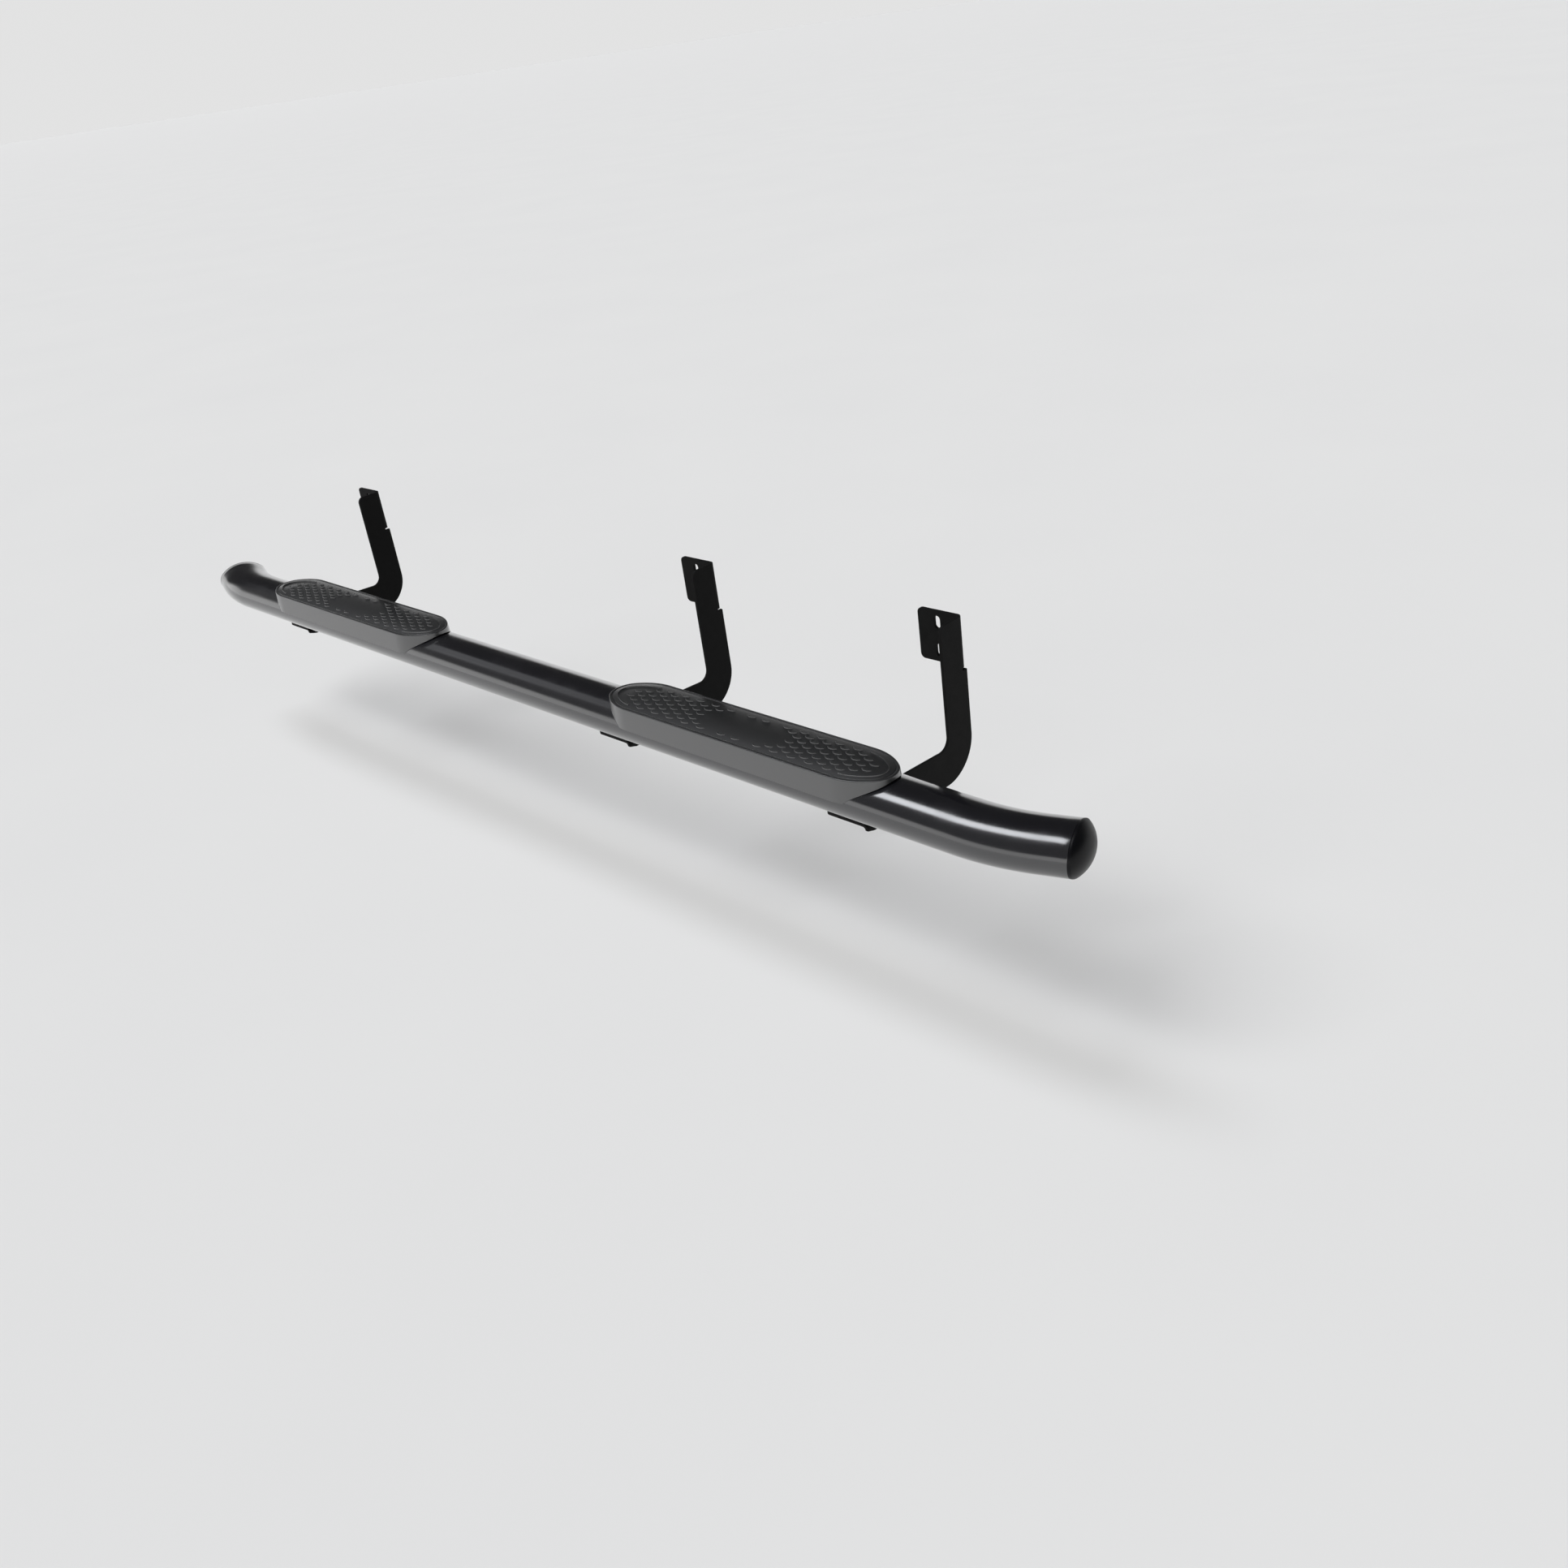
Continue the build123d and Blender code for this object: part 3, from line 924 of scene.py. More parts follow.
def build_crescent_tree() -> Growing:
    """The tree that sets out the raised crescents on one tread."""
    inputs = {
        "Crescent": None,
        "First": 60.5 * MM,
        "Pitch Along": 34.6 * MM,
        "Pitch Across": 8.3 * MM,
        "Columns": 5,
        "Rows Each Side": 4,
        "Pair Spacing": 30.0 * MM,
        "Top": 0.0,
    }
    grow = Growing("tread_crescents", inputs)
    maths = grow.maths
    _, first, pitch_along, pitch_across, columns, side_rows, pair_spacing, top = (
        grow.given[label] for label in inputs
    )
    index = grow.add("InputIndex").outputs[0]
    field_count = maths("MULTIPLY", maths("MULTIPLY_ADD", side_rows, 2.0, 1.0), columns)
    end = maths("FLOOR", maths("DIVIDE", index, field_count))
    inside = maths("MODULO", index, field_count)
    column = maths("MODULO", inside, columns)
    row = maths("SUBTRACT", maths("FLOOR", maths("DIVIDE", inside, columns)), side_rows)
    # the field is arrow shaped: its rows start up to three half pitches later, most beside the middle row
    half_pitches = maths("SUBTRACT", 3.0, maths("ABSOLUTE", maths("SUBTRACT", maths("ABSOLUTE", row), 1.0)))
    steps = maths("ADD", column, maths("MULTIPLY", half_pitches, 0.5))
    along = maths("ADD", first, maths("MULTIPLY", steps, pitch_along))
    side = maths("SUBTRACT", maths("MULTIPLY", end, 2.0), 1.0)
    across = maths("MULTIPLY", row, pitch_across)
    spot = grow.vector(maths("MULTIPLY", along, side), across, top)
    field_points = grow.add("Points", Count=maths("MULTIPLY", field_count, 2.0), Position=spot)
    # one pair of crescents stands in the middle of each outer row
    left = maths("SUBTRACT", maths("MODULO", index, 2.0), 0.5)
    edge = maths("SUBTRACT", maths("MULTIPLY", maths("FLOOR", maths("DIVIDE", index, 2.0)), 2.0), 1.0)
    pair_across = maths("MULTIPLY", maths("MULTIPLY", edge, side_rows), pitch_across)
    pair_spot = grow.vector(maths("MULTIPLY", left, pair_spacing), pair_across, top)
    pairs = grow.add("Points", Count=4, Position=pair_spot)
    points = grow.add("JoinGeometry")
    for group in (field_points, pairs):
        grow.feed(group.outputs[0], points.inputs[0])
    shape = grow.shape_of("Crescent")
    grow.finish(grow.add("InstanceOnPoints", Points=points.outputs[0], Instance=shape).outputs[0])
    return grow


def build_sweep_tree() -> Growing:
    """The tree that draws a closed section along a path, upright all the way."""
    grow = Growing("swept_section", {"Path": None, "Section": None})
    upright = grow.add("SetCurveNormal", Curve=grow.shape_of("Path"))
    upright.mode = "Z_UP"
    skin = grow.add("CurveToMesh", Curve=upright.outputs[0], Profile_Curve=grow.shape_of("Section"))
    grow.finish(skin.outputs[0])
    return grow


def build_row_tree() -> Growing:
    """The tree that repeats one piece in a straight row along X."""
    inputs = {"Piece": None, "Count": 2, "Spacing": 38.0 * MM, **{f"Middle {axis}": 0.0 for axis in "XYZ"}}
    grow = Growing("row_of_pieces", inputs)
    _, count, spacing, middle_x, middle_y, middle_z = (grow.given[label] for label in inputs)
    index = grow.add("InputIndex").outputs[0]
    half = grow.maths("MULTIPLY", grow.maths("SUBTRACT", count, 1.0), 0.5)
    along = grow.maths("MULTIPLY", grow.maths("SUBTRACT", index, half), spacing)
    spot = grow.vector(grow.maths("ADD", along, middle_x), middle_y, middle_z)
    points = grow.add("Points", Count=count, Position=spot).outputs[0]
    shape = grow.shape_of("Piece")
    grow.finish(grow.add("InstanceOnPoints", Points=points, Instance=shape).outputs[0])
    return grow


@dataclass(frozen=True)
class Trees:
    """The geometry trees, each built once."""

    crescents: Growing
    sweep: Growing
    row: Growing

    @classmethod
    def build(cls) -> "Trees":
        """Build the three trees."""
        return cls(build_crescent_tree(), build_sweep_tree(), build_row_tree())

    def in_row(self, piece: Piece, count: int, spacing: float, middle: Vector) -> Piece:
        """Repeat a piece in a straight row along X, and throw the first one away.

        Args:
            piece: the piece, about its own middle.
            count: how many there are.
            spacing: the distance between neighbours, in millimetres.
            middle: the middle of the row, in millimetres.

        Returns:
            The row as one object.
        """
        x, y, z = middle * MM
        sizes = {"Count": count, "Spacing": spacing * MM, "Middle_X": x, "Middle_Y": y, "Middle_Z": z}
        made = self.row.run("row", Piece=piece, **sizes)
        bpy.data.objects.remove(piece)
        return made


# The bar


@dataclass
class BarAxis:
    """The bent middle line of the tube, in the part's frame, sizes in millimetres."""

    straight: float = 1946.0
    bend_radius: float = 350.0
    bend_angle: float = math.radians(18.0)
    end_straight: float = 42.0
    end_runs: int = 3
    middle: Vector = field(default_factory=Vector)

    @classmethod
    def from_frame(cls) -> "BarAxis":
        """Read the line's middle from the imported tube's box.

        Returns:
            The line.
        """
        low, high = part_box("step_tube")
        centre = (low + high) / 2 / MM
        return cls(middle=Vector((centre.x, low.y / MM + TUBE_OVAL.half_width, centre.z)))

    def bend_point(self, turn: float) -> Vector:
        """The point of the front bend where the line has turned by an angle."""
        reach = self.straight / 2 + self.bend_radius * math.sin(turn)
        return Vector((reach, self.bend_radius * (1 - math.cos(turn)), 0))

    def end_place(self, end: End) -> Matrix:
        """The frame across one end of the tube: Z out of the tube, Y up.

        Args:
            end: which end.

        Returns:
            A matrix from the end's own frame to the part's, its translation in metres.
        """
        out = Vector((math.cos(self.bend_angle), math.sin(self.bend_angle), 0))
        tip = self.bend_point(self.bend_angle) + out * self.end_straight
        for spot in (out, tip):
            spot.x *= end.side
        up = Vector((0, 0, 1))
        turned = Matrix((up.cross(out), up, out)).transposed().to_4x4()
        return Matrix.Translation((self.middle + tip) * MM) @ turned

    def stations(self, step: float, turn_step: float) -> Ring:
        """Points along the line from the rear end to the front end.

        Args:
            step: the distance between points on the long straight.
            turn_step: the turn between points in a bend, in radians.

        Returns:
            The points in order.
        """
        half = self.straight / 2
        straight = [Vector((-half + i * step, 0, 0)) for i in range(int(self.straight / step))]
        straight.append(Vector((half, 0, 0)))
        count = round(self.bend_angle / turn_step)
        bend = [self.bend_point(self.bend_angle * i / count) for i in range(1, count + 1)]
        along = Vector((math.cos(self.bend_angle), math.sin(self.bend_angle), 0))
        start = bend[-1]
        for i in range(1, self.end_runs + 1):
            bend.append(start + along * (self.end_straight * i / self.end_runs))
        rear = [Vector((-p.x, p.y, 0)) for p in reversed(bend)]
        return [self.middle + p for p in rear + straight + bend]


@dataclass
class StepTube:
    """The bent oval tube, open at its ends, with its clip holes and bolt holes."""

    axis: BarAxis
    trees: Trees
    wall: float = 2.0
    section_points: int = 144
    step: float = 40.0
    turn_step: float = math.radians(0.9)
    rim_round: float = 0.9
    rim_faces: int = 3
    clip_hole: float = 4.0
    bolt_hole: float = 5.6
    bolt_count: int = 2
    bolt_spacing: float = 38.0

    def build(self) -> Piece:
        """Draw the oval along the bent line, give it its wall and drill it.

        Returns:
            The tube.
        """
        path = poly_curve("tube_path", self.axis.stations(self.step, self.turn_step), closed=False)
        ring = [Vector((point.x, point.y, 0)) for point, _ in TUBE_OVAL.samples(self.section_points)]
        section = poly_curve("tube_section", ring, closed=True)
        tube = self.trees.sweep.run("oval_tube", Path=path, Section=section)
        bpy.data.objects.remove(path)
        bpy.data.objects.remove(section)
        tidy_mesh(tube)
        wall = tube.modifiers.new("wall", "SOLIDIFY")
        wall.thickness = self.wall * MM
        wall.offset = -1.0
        add_bevel(tube, self.rim_round, self.rim_faces, RIM_EDGE_ANGLE)
        freeze(tube)
        cut(tube, self.hole_tools())
        with open_mesh(tube) as shape:
            mark_edges(shape)
        return tube

    def hole_tools(self) -> Piece:
        """Round bars that stand where the clips and the foot bolts pass through the tube's wall.

        Returns:
            One object with all of the bars.
        """
        middle = self.axis.middle
        height = TUBE_OVAL.half_height
        bars = []
        for end in End:
            spot = middle + Vector((end.side * PAD_STATION, 0, height))
            bar = post("hole", Vector(), self.clip_hole, height)
            bars.append(self.trees.in_row(bar, CLIP_COUNT, CLIP_SPACING, spot))
        for station in Station:
            low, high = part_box(f"{station.value}_foot_bolts")
            spot = Vector(((low.x + high.x) / 2 / MM, middle.y, middle.z - height))
            bar = post("hole", Vector(), self.bolt_hole, height)
            bars.append(self.trees.in_row(bar, self.bolt_count, self.bolt_spacing, spot))
        merge(bars[0], bars[1:])
        return bars[0]


@dataclass
class EndCap:
    """A hollow domed cap pushed into one end of the tube."""

    axis: BarAxis
    end: End
    rise: float = 22.0
    wall: float = 2.5
    skirt: float = 24.0
    seat: float = 2.3
    points: int = 128
    dome_steps: int = 22
    rim: float = 4.0
    shoulder: float = 0.9
    seam: float = 0.6
    notch_width: float = 6.0
    notch_depth: float = 14.0

    def crown(self, spot: Vector) -> float:
        """Height of the dome's outside over one point of its plan.

        Args:
            spot: the point, from the middle of the tube's end.

        Returns:
            The height over the tube's end.
        """
        sag = self.rise - self.rim
        spine = (TUBE_OVAL.half_width**2 + sag**2) / (2 * sag)
        depth = (TUBE_OVAL.half_height**2 + self.rim**2 - self.rise**2) / (2 * sag)
        ridge = self.rise - spine + math.sqrt(spine**2 - spot.x**2)
        return math.sqrt((depth + ridge) ** 2 - spot.y**2) - depth

    def dome(self, inset: float, thickness: float) -> List[Ring]:
        """The dome's rings, from its edge to its top.

        Args:
            inset: how far the first ring lies inside the tube's outline.
            thickness: how far below the dome's outside the rings lie.

        Returns:
            The rings.
        """
        samples = TUBE_OVAL.samples(self.points)
        rings = []
        for i in range(self.dome_steps):
            shrink = math.cos(math.pi / 2 * i / self.dome_steps)
            spots = [(point - normal * inset) * shrink for point, normal in samples]
            rings.append([Vector((*spot, self.crown(spot) - thickness)) for spot in spots])
        return rings

    def notch(self, cap: Piece) -> None:
        """Cut the four notches into the skirt's inner end.

        Args:
            cap: the cap, in its own frame.
        """
        low, high = -self.skirt - OVERCUT, self.notch_depth - self.skirt
        middle = Vector((0, 0, (low + high) / 2))
        wide, tall = 2 * TUBE_OVAL.half_width, 2 * TUBE_OVAL.half_height
        for size in ((wide, self.notch_width, high - low), (self.notch_width, tall, high - low)):
            cut(cap, block("notch", middle, Vector(size)))

    def build(self) -> Piece:
        """Make the cap as one closed skin, inside and outside.

        Returns:
            The cap, in its place.
        """
        samples = TUBE_OVAL.samples(self.points)
        edge = [inset_ring(samples, self.seam, 0.0), inset_ring(samples, 0.0, self.seam)]
        for inset, drop in ((0.0, self.shoulder), (ROUNDING * self.shoulder, ROUNDING * self.shoulder)):
            edge.append([Vector((*(p - n * inset), self.crown(p - n * inset) - drop)) for p, n in samples])
        outer = edge + self.dome(self.shoulder, 0.0)
        inner = self.dome(self.seat + self.wall, self.wall)
        skirt_out = [inset_ring(samples, self.seat, 0.0), inset_ring(samples, self.seat, -self.skirt)]
        skirt_in = [inset_ring(samples, self.seat + self.wall, -self.skirt)]
        rings = list(reversed(outer)) + skirt_out + skirt_in + inner
        cap = ring_shell(f"{self.end.value}_domed_cap", rings)
        self.notch(cap)
        place(cap, self.axis.end_place(self.end))
        with open_mesh(cap) as shape:
            mark_edges(shape)
        return cap


@dataclass
class StepPad:
    """One moulded tread that saddles the tube, in millimetres about its own middle."""

    axis: BarAxis
    trees: Trees
    end: End
    length: float = 590.0
    half_width: float = 50.6
    end_reach: float = 77.0
    tip_radius: float = 36.0
    rise: float = 9.0
    drop: float = 28.0
    flare: float = 2.0
    skin: float = 3.2
    wall: float = 3.0
    lip: float = 1.8
    groove_inset: float = 4.6
    groove_width: float = 1.8
    groove_depth: float = 1.0
    edge: float = 0.35
    ridge_inset: float = 14.0
    ridge_width: float = 2.0
    ridge_round: float = 0.5
    ridge_start: float = 221.0
    relief: float = 1.3
    end_gap: float = 2.2
    seat_gap: float = 0.3
    rib: float = 2.0
    rib_offset: float = 24.0
    rib_root: float = 0.5
    boss_radius: float = 11.3
    flange_socket: Tuple[float, float] = (8.3, 1.9)
    button_socket: Tuple[float, float] = (6.3, 5.4)
    arc_points: int = 96
    side_runs: int = 24
    skirt_runs: int = 4
    lip_faces: int = 6
    seat_points: int = 128

    @property
    def top(self) -> float:
        """Height of the tread's top over the tube's middle line."""
        return TUBE_OVAL.half_height + self.rise

    @property
    def skirt_bottom(self) -> float:
        """Height of the skirt's lower edge."""
        return TUBE_OVAL.half_height - self.drop

    def outline(self) -> List[Sample]:
        """Points and normals all round the tread, starting at the front tip.

        Returns:
            The points and normals.
        """
        oval = Oval(self.end_reach, self.half_width, self.tip_radius)
        shift = Vector((self.length / 2 - self.end_reach, 0))
        half = self.arc_points // 2
        tip = [oval.sample(math.pi / 2 * i / half) for i in range(-half, half + 1)]
        samples = [(point + shift, normal) for point, normal in tip]
        for i in range(1, self.side_runs):
            along = shift.x * (1 - 2 * i / self.side_runs)
            samples.append((Vector((along, self.half_width)), Vector((0, 1))))
        return samples + [(-point, -normal) for point, normal in samples]

    def body(self) -> Piece:
        """The solid tread: flared skirt, rounded lip and the groove round its top.

        Returns:
            The solid tread.
        """
        steps = []
        for i in range(self.skirt_runs):
            share = i / self.skirt_runs
            height = self.skirt_bottom + share * (self.top - self.lip - self.skirt_bottom)
            steps.append((-self.flare * (1 - share), height))
        for i in range(self.lip_faces + 1):
            turn = math.pi / 2 * i / self.lip_faces
            steps.append((self.lip * (1 - math.cos(turn)), self.top - self.lip * (1 - math.sin(turn))))
        low, edge = self.top - self.groove_depth, self.edge
        outer, inner = self.groove_inset, self.groove_inset + self.groove_width
        steps += [
            (outer - edge, self.top),
            (outer - ROUNDING * edge, self.top - ROUNDING * edge),
            (outer, self.top - edge),
            (outer, low + edge),
            (outer + edge, low),
            (inner - edge, low),
            (inner, low + edge),
            (inner, self.top - edge),
            (inner + ROUNDING * edge, self.top - ROUNDING * edge),
            (inner + edge, self.top),
        ]
        samples = self.outline()
        return ring_shell("tread_body", [inset_ring(samples, inset, height) for inset, height in steps])

    def filling(self, inset: float, low: float, high: float) -> Piece:
        """An upright solid inside the tread's outline.

        Args:
            inset: how far inside the outline it stays.
            low: the height of its lower face.
            high: the height of its upper face.

        Returns:
            The solid.
        """
        samples = self.outline()
        return ring_shell("filling", [inset_ring(samples, inset, z) for z in (low, high)])

    def tube_bar(self, section: Oval) -> Piece:
        """A bar in the tube's place, longer than the tread, which cuts the tread's seat.

        Args:
            section: the bar's section.

        Returns:
            The bar.
        """
        samples = section.samples(self.seat_points)
        ends = (-self.length, self.length)
        return ring_shell("tube_bar", [[Vector((x, p.x, p.y)) for p, _ in samples] for x in ends])

    def underside(self) -> Piece:
        """The ribs and clip bosses between the tread's skin and the tube.

        Returns:
            The ribs, rooted a little way into the tread's walls.
        """
        in_row = self.trees.in_row
        depth = self.top - self.skirt_bottom
        middle = Vector((0, 0, (self.top + self.skirt_bottom) / 2))
        long_rib = Vector((self.length, self.rib, depth))
        offset = Vector((0, self.rib_offset, 0))
        pieces = [block("ribs", middle + offset * side, long_rib) for side in (1, -1)]
        cross_rib = block("rib", Vector(), Vector((self.rib, 2 * self.half_width, depth)))
        pieces.append(in_row(cross_rib, 2 * CLIP_COUNT - 1, CLIP_SPACING / 2, middle))
        boss = post("boss", Vector(), self.boss_radius, depth)
        pieces.append(in_row(boss, CLIP_COUNT, CLIP_SPACING, middle))
        ribs = pieces[0]
        merge(ribs, pieces[1:])
        roof = self.top - self.skin + self.rib_root
        cut(ribs, self.filling(self.wall - self.rib_root, self.skirt_bottom, roof), "INTERSECT")
        wide, tall = TUBE_OVAL.half_width + self.seat_gap, TUBE_OVAL.half_height + self.seat_gap
        cut(ribs, self.tube_bar(Oval(wide, tall, TUBE_OVAL.tip_radius + self.seat_gap)))
        tube_top = Vector((0, 0, TUBE_OVAL.half_height))
        for radius, height in (self.flange_socket, self.button_socket):
            socket = post("socket", Vector(), radius, 2 * height)
            cut(ribs, in_row(socket, CLIP_COUNT, CLIP_SPACING, tube_top))
        return ribs

    def crescents(self) -> Piece:
        """The raised crescents, set out by their tree.

        Returns:
            The crescents.
        """
        shape = Crescent(height=self.relief).build()
        grown = self.trees.crescents.run("crescents", Crescent=shape, Top=self.top * MM)
        bpy.data.objects.remove(shape)
        return grown

    def ridge(self, side: int) -> Piece:
        """One raised ridge with rounded shoulders, which follows an end of the tread.

        Args:
            side: plus one for the tread's front end, minus one for its rear end.

        Returns:
            The ridge.
        """
        samples = self.outline()
        line = [(p, n) for p, n in samples if side * (p.x - n.x * self.ridge_inset) > self.ridge_start]
        line.sort(key=lambda item: math.atan2(item[1].y, side * item[1].x))
        r, third = self.ridge_round, ROUNDING * self.ridge_round
        outer, inner = self.ridge_inset, self.ridge_inset + self.ridge_width
        base, top = self.top - self.skin / 2, self.top + self.relief
        profile = [
            (outer, base), (outer, top - r), (outer + third, top - third), (outer + r, top),
            (inner - r, top), (inner - third, top - third), (inner, top - r), (inner, base),
        ]
        rings = [[Vector((*(p - n * inset), z)) for inset, z in profile] for p, n in line]
        return ring_shell("ridge", rings)

    def build(self) -> Piece:
        """Make the tread with its hollow, its seat, its ribs and its raised pattern.

        Returns:
            The tread, in its place.
        """
        pad = self.body()
        cut(pad, self.filling(self.wall, self.skirt_bottom - OVERCUT, self.top - self.skin))
        wide, tall = TUBE_OVAL.half_width + self.seat_gap, TUBE_OVAL.half_height + self.end_gap
        cut(pad, self.tube_bar(Oval(wide, tall, TUBE_OVAL.tip_radius + self.end_gap / 2)))
        cut(pad, self.underside(), "UNION")
        merge(pad, [self.crescents(), self.ridge(1), self.ridge(-1)])
        pad.name = f"{self.end.value}_tread_moulding"
        shift = self.axis.middle + Vector((self.end.side * PAD_STATION, 0, 0))
        place(pad, Matrix.Translation(shift * MM))
        with open_mesh(pad) as shape:
            mark_edges(shape)
        return pad


@dataclass
class Crescent:
    """One raised crescent with blunt round ends, its belly outboard, sizes in millimetres.

    The profile's points are shares of half the width and of the height.
    """

    chord: float = 17.6
    sag: float = 3.0
    width: float = 2.4
    height: float = 1.3
    root: float = 0.6
    narrowest: float = 0.2
    lowest: float = 0.45
    end_share: float = 0.7
    stations: int = 9
    profile: Tuple[Tuple[float, float], ...] = (
        (-1.0, 0.45), (-0.72, 0.88), (-0.3, 1.0), (0.3, 1.0), (0.72, 0.88), (1.0, 0.45),
    )

    def build(self) -> Piece:
        """Make the crescent about its own middle, standing on the XY plane.

        Returns:
            The crescent.
        """
        thick = self.width / 2
        half = self.chord / 2 - thick
        radius = (half * half + self.sag * self.sag) / (2 * self.sag)
        spread = math.asin(half / radius)
        ends = [spread + self.end_share * thick / radius, spread + thick / radius]
        turns = [-ends[1], -ends[0]]
        turns += [spread * (2 * i / (self.stations - 1) - 1) for i in range(self.stations)]
        rings = []
        for turn in turns + ends:
            past = max(abs(turn) - spread, 0.0) * radius
            half_width = math.sqrt(max(thick**2 - past**2, self.narrowest**2))
            sag = radius * (math.cos(turn) - math.cos(spread))
            centre = Vector((radius * math.sin(turn), thick - sag))
            out = Vector((math.sin(turn), -math.cos(turn)))
            top = self.height * (1.0 if past == 0 else max(half_width / thick, self.lowest))
            points = [(-1.0, -self.root), *((w, share * top) for w, share in self.profile), (1.0, -self.root)]
            rings.append([Vector((*(centre + out * (half_width * w)), z)) for w, z in points])
        return ring_shell("crescent", rings)


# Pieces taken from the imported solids


@dataclass(frozen=True)
class Copied:
    """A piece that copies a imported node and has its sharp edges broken.

    Both names lack the end or the station that they start with. The edge is the width of the
    broken edges, in millimetres.
    """

    name: str
    node: str
    edge: float
    slot: Slot

    def dress(self, where: Enum, finishes: Finishes) -> None:
        """Build the piece and finish it.

        Args:
            where: the end or the station that the piece belongs to.
            finishes: the finishes.
        """
        node = f"{where.value}_{self.node}"
        piece = link(f"{where.value}_{self.name}", frame["nodes"][node].data.copy())
        with open_mesh(piece) as shape:
            bmesh.ops.remove_doubles(shape, verts=shape.verts, dist=MERGE_DISTANCE)
            bmesh.ops.dissolve_limit(shape, angle_limit=FLAT_ANGLE, verts=shape.verts, edges=shape.edges)
            mark_edges(shape)
        bevel = add_bevel(piece, self.edge, segments=2, angle=BROKEN_EDGE_ANGLE)
        bevel.harden_normals = True
        freeze(piece)
        finishes.dress(piece, self.slot, node)


CLIP_ROW = Copied("clip_row", "pad_clips", 0.2, Slot.CLIP)
BRACKET_SET = (
    Copied("folded_bracket", "bracket", 0.5, Slot.BRACKET),
    Copied("tapped_plate", "nut_plate", 0.4, Slot.ZINC),
    Copied("bolt_pair", "foot_bolts", 0.25, Slot.FASTENER),
    Copied("washer_pair", "flat_washers", 0.25, Slot.FASTENER),
    Copied("spring_pair", "lock_washers", 0.25, Slot.FASTENER),
)


# Studio


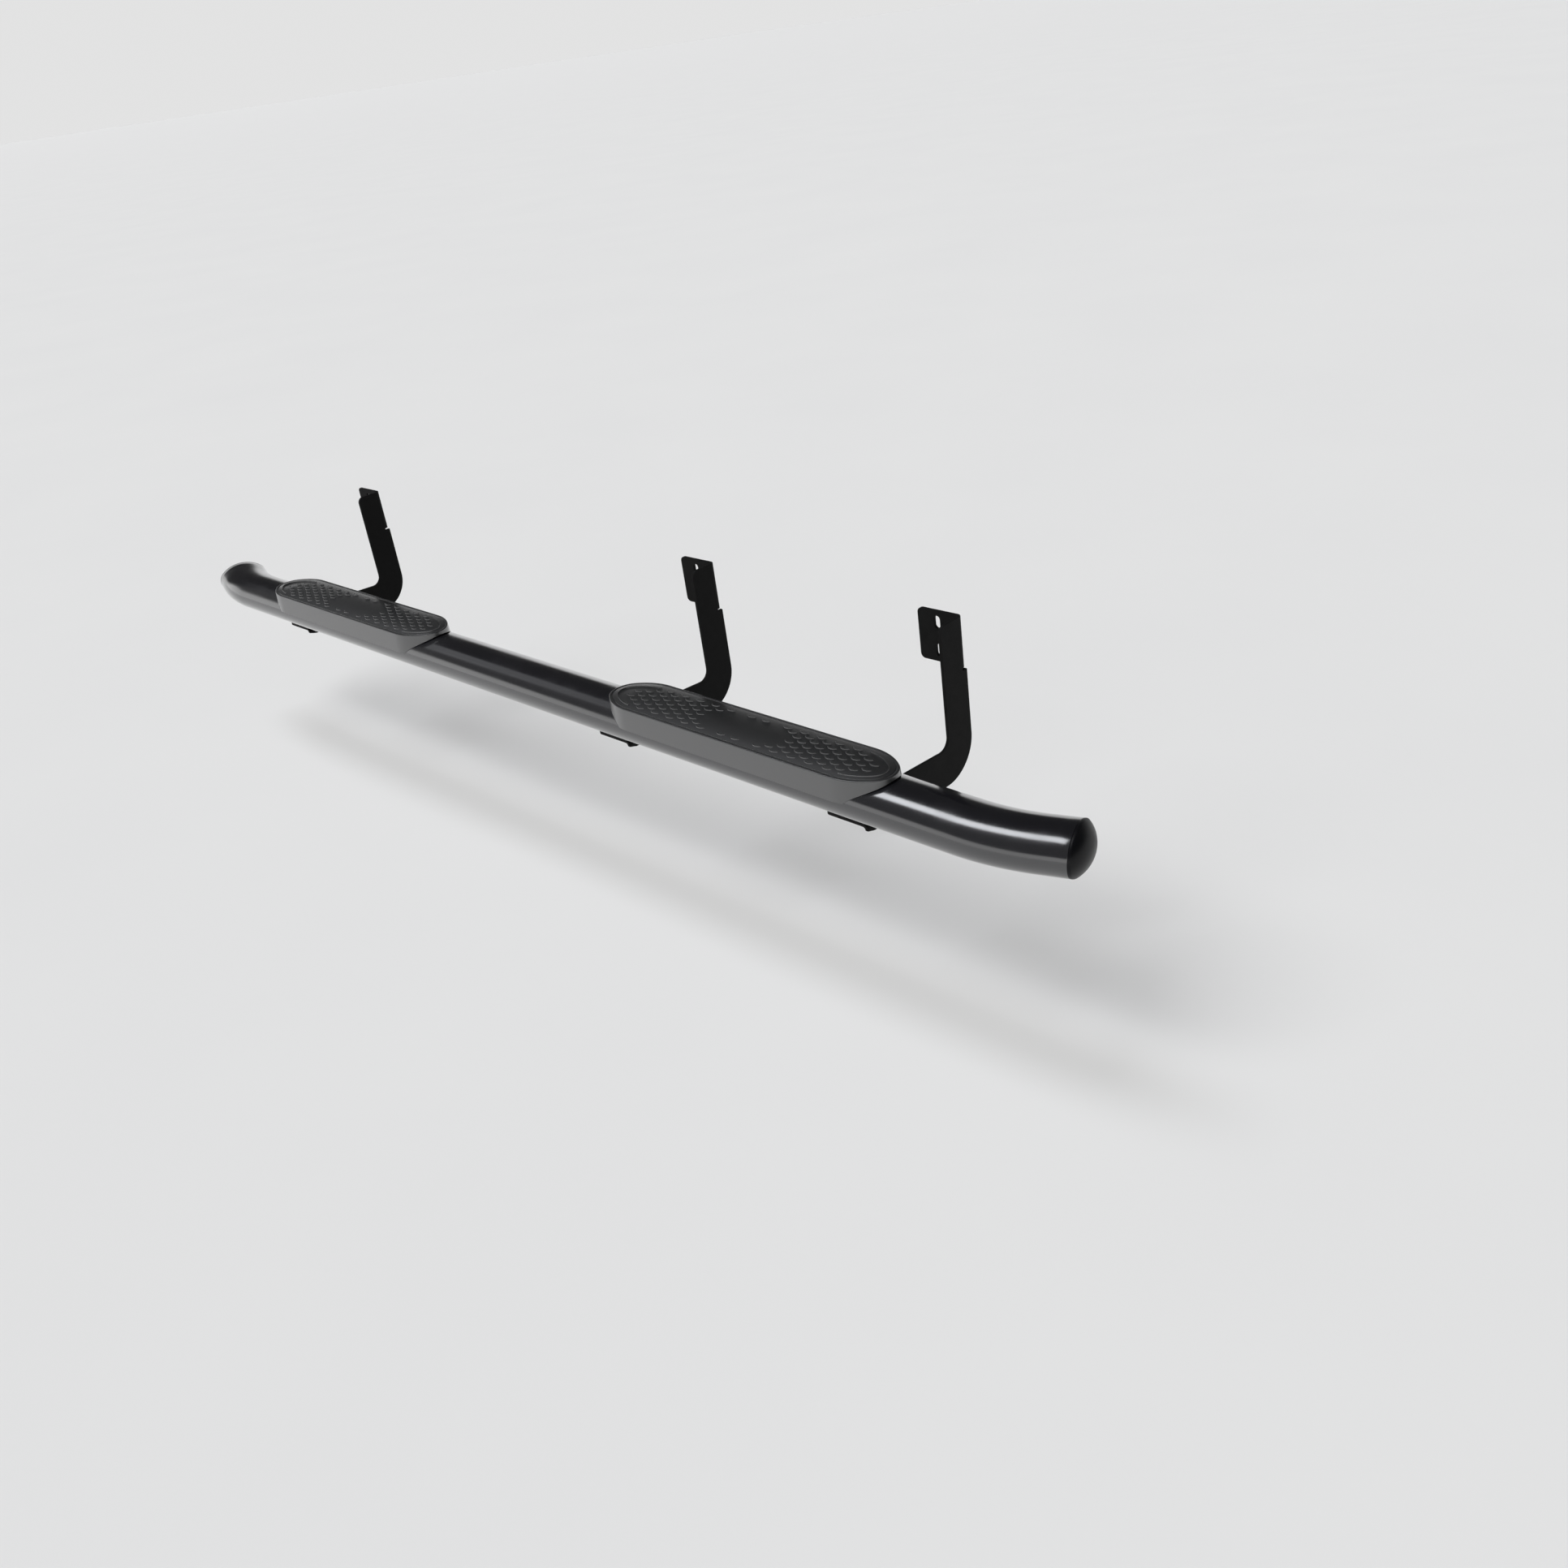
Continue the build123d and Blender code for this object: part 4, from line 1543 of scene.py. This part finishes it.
@dataclass
class Studio:
    """A pale floor, soft lamps and the camera, in metres and radians, its lens in millimetres."""

    floor_height: float = -0.470
    floor_size: float = 400.0
    floor_glow: float = 0.10
    floor_tones: Tuple[Triple, Triple] = ((0.70, 0.70, 0.70), (0.73, 0.73, 0.725))
    floor_roughness: float = 0.6
    horizon: float = 0.765
    far_overhead: float = 0.03
    far_edge: Tuple[float, float] = (0.07, 0.19)
    wall: float = 1.1
    near_overhead: float = 0.14
    near_edge: Tuple[float, float] = (0.28, 0.42)
    side_edge: Tuple[float, float] = (-0.13, 0.0)
    lamp_distance: float = 800.0
    lamp_tint: Triple = (0.94, 0.96, 1.0)
    fill: float = 2.3
    fill_angle: float = math.radians(40.0)
    fill_towards: Triple = (-0.25, -0.55, 0.80)
    camera_place: Triple = (1.7533, -1.4770, 0.8110)
    yaw: float = math.radians(47.619)
    pitch: float = math.radians(28.013)
    roll: float = math.radians(8.231)
    lens: float = 32.67
    sensor: float = 36.0

    def build(self) -> None:
        """Set up the floor, the sky, the lamps and the camera."""
        self.floor()
        self.sky()
        self.lamps()
        self.camera()
        bpy.context.scene.view_settings.view_transform = "Standard"

    def floor(self) -> None:
        """Lay the pale floor."""
        half = self.floor_size / 2
        sides = ((-1, -1), (1, -1), (1, 1), (-1, 1))
        corners = [Vector((x * half, y * half, self.floor_height)) / MM for x, y in sides]
        floor = mesh_from("studio_floor", corners, [(0, 1, 2, 3)])
        floor.data.materials.append(self.floor_material())

    def floor_material(self) -> bpy.types.Material:
        """The floor's material, which the camera sees through from below.

        Returns:
            The material.
        """
        material, shade, surface = start_material("pale_floor")
        where = shade.add("TexCoord").outputs["Object"]
        cloud = shade.add("TexNoise", Vector=where, Scale=1.5, Detail=5.0).outputs["Fac"]
        first, second = self.floor_tones
        path = shade.add("LightPath").outputs
        seen = shade.maths("MAXIMUM", path["Is Camera Ray"], path["Is Glossy Ray"])
        seen = shade.maths("MAXIMUM", seen, path["Is Transmission Ray"])
        shade.fill(
            surface,
            Base_Color=shade.blend(cloud, (*first, 1), (*second, 1)),
            Roughness=self.floor_roughness,
            Specular_IOR_Level=0.0,
            Emission_Color=(1.0, 1.0, 1.0, 1.0),
            Emission_Strength=shade.maths("MULTIPLY", seen, self.floor_glow),
        )
        through = shade.add("MixShader")
        back = shade.add("NewGeometry").outputs["Backfacing"]
        below = shade.maths("MULTIPLY", back, path["Is Camera Ray"])
        clear = shade.add("BsdfTransparent").outputs[0]
        for value, socket in zip((below, surface.outputs["BSDF"], clear), through.inputs):
            shade.feed(value, socket)
        shade.fill(shade.tree.nodes["Material Output"], Surface=through.outputs[0])
        return material

    def sky(self) -> None:
        """Make the surroundings pale near the floor and darker overhead."""
        world = bpy.context.scene.world or bpy.data.worlds.new("studio")
        bpy.context.scene.world = world
        world.use_nodes = True
        world.node_tree.nodes.clear()
        shade = Shading(world.node_tree)
        towards = shade.add("SeparateXYZ", Vector=shade.add("TexCoord").outputs["Generated"]).outputs
        far_side = shade.spread(towards["Z"], *self.far_edge, self.horizon, self.far_overhead)
        near_side = shade.spread(towards["Z"], *self.near_edge, self.wall, self.near_overhead)
        outboard = shade.spread(towards["Y"], *self.side_edge, 1.0, 0.0)
        rest = shade.maths("SUBTRACT", near_side, far_side)
        tone = shade.maths("MULTIPLY_ADD", outboard, rest, far_side)
        colour = shade.add("CombineColor", Red=tone, Green=tone, Blue=tone).outputs[0]
        backdrop = shade.add("Background", Color=colour, Strength=1.0)
        shade.add("OutputWorld", Surface=backdrop.outputs[0])

    def lamps(self) -> None:
        """Hang the lamps, all far enough away to light the floor evenly."""
        self.strip("strip_light", towards=(-0.39, 0.01, 0.92), across=0.21, along=0.62, radiance=5.5)
        self.strip("far_strip", towards=(-0.81, 0.0, 0.59), across=0.22, along=0.24, radiance=0.32)
        light = bpy.data.lights.new("broad_fill", "SUN")
        light.energy = self.fill
        light.angle = self.fill_angle
        holder = self.hang(light, self.fill_towards)
        holder.visible_glossy = False

    def strip(self, name: str, towards: Triple, across: float, along: float, radiance: float) -> None:
        """Hang one long soft lamp over the bar, in line with it.

        Args:
            name: the lamp's name.
            towards: the direction from the bar to the lamp.
            across: how wide it looks from the bar, in radians.
            along: how long it looks from the bar, in radians.
            radiance: how bright it looks, where 1 is white.
        """
        light = bpy.data.lights.new(name, "AREA")
        light.shape = "RECTANGLE"
        light.size = self.lamp_distance * across
        light.size_y = self.lamp_distance * along
        light.color = self.lamp_tint
        light.energy = radiance * math.pi * light.size * light.size_y
        self.hang(light, towards)

    def hang(self, light: bpy.types.Light, towards: Triple) -> Piece:
        """Put a lamp a long way off, turned to the bar.

        Args:
            light: the lamp.
            towards: the direction from the bar to the lamp.

        Returns:
            The lamp's object.
        """
        holder = link(light.name, light)
        holder.location = Vector(towards).normalized() * self.lamp_distance
        holder.rotation_euler = Vector(towards).to_track_quat("Z", "Y").to_euler()
        return holder

    def camera(self) -> None:
        """Stand the camera where the photograph was taken from."""
        right = Vector((math.cos(self.yaw), math.sin(self.yaw), 0))
        level = Vector((-math.sin(self.yaw), math.cos(self.yaw), 0))
        ahead = level * math.cos(self.pitch) - Vector((0, 0, math.sin(self.pitch)))
        down = ahead.cross(right)
        cos, sin = math.cos(self.roll), math.sin(self.roll)
        turned_right = right * cos + down * sin
        turned_down = down * cos - right * sin
        turn = Matrix((turned_right, -turned_down, -ahead)).transposed().to_4x4()
        data = bpy.data.cameras.new("photo_camera")
        data.lens = self.lens
        data.sensor_width = self.sensor
        data.sensor_fit = "HORIZONTAL"
        holder = link("photo_camera", data)
        holder.matrix_world = Matrix.Translation(self.camera_place) @ turn
        bpy.context.scene.camera = holder


def main() -> None:
    """Build the bar piece by piece, then the studio round it."""
    logging.basicConfig(level=logging.INFO, format="%(name)s %(message)s")
    finishes = Finishes()
    trees = Trees.build()
    axis = BarAxis.from_frame()
    finishes.dress(StepTube(axis, trees).build(), Slot.TUBE, "step_tube")
    for end in End:
        finishes.dress(EndCap(axis, end).build(), Slot.CAP, f"{end.value}_end_cap")
        finishes.dress(StepPad(axis, trees, end).build(), Slot.TREAD, f"{end.value}_step_pad")
        CLIP_ROW.dress(end, finishes)
    for station in Station:
        for copied in BRACKET_SET:
            copied.dress(station, finishes)
    Studio().build()


if __name__ == "__main__":
    main()
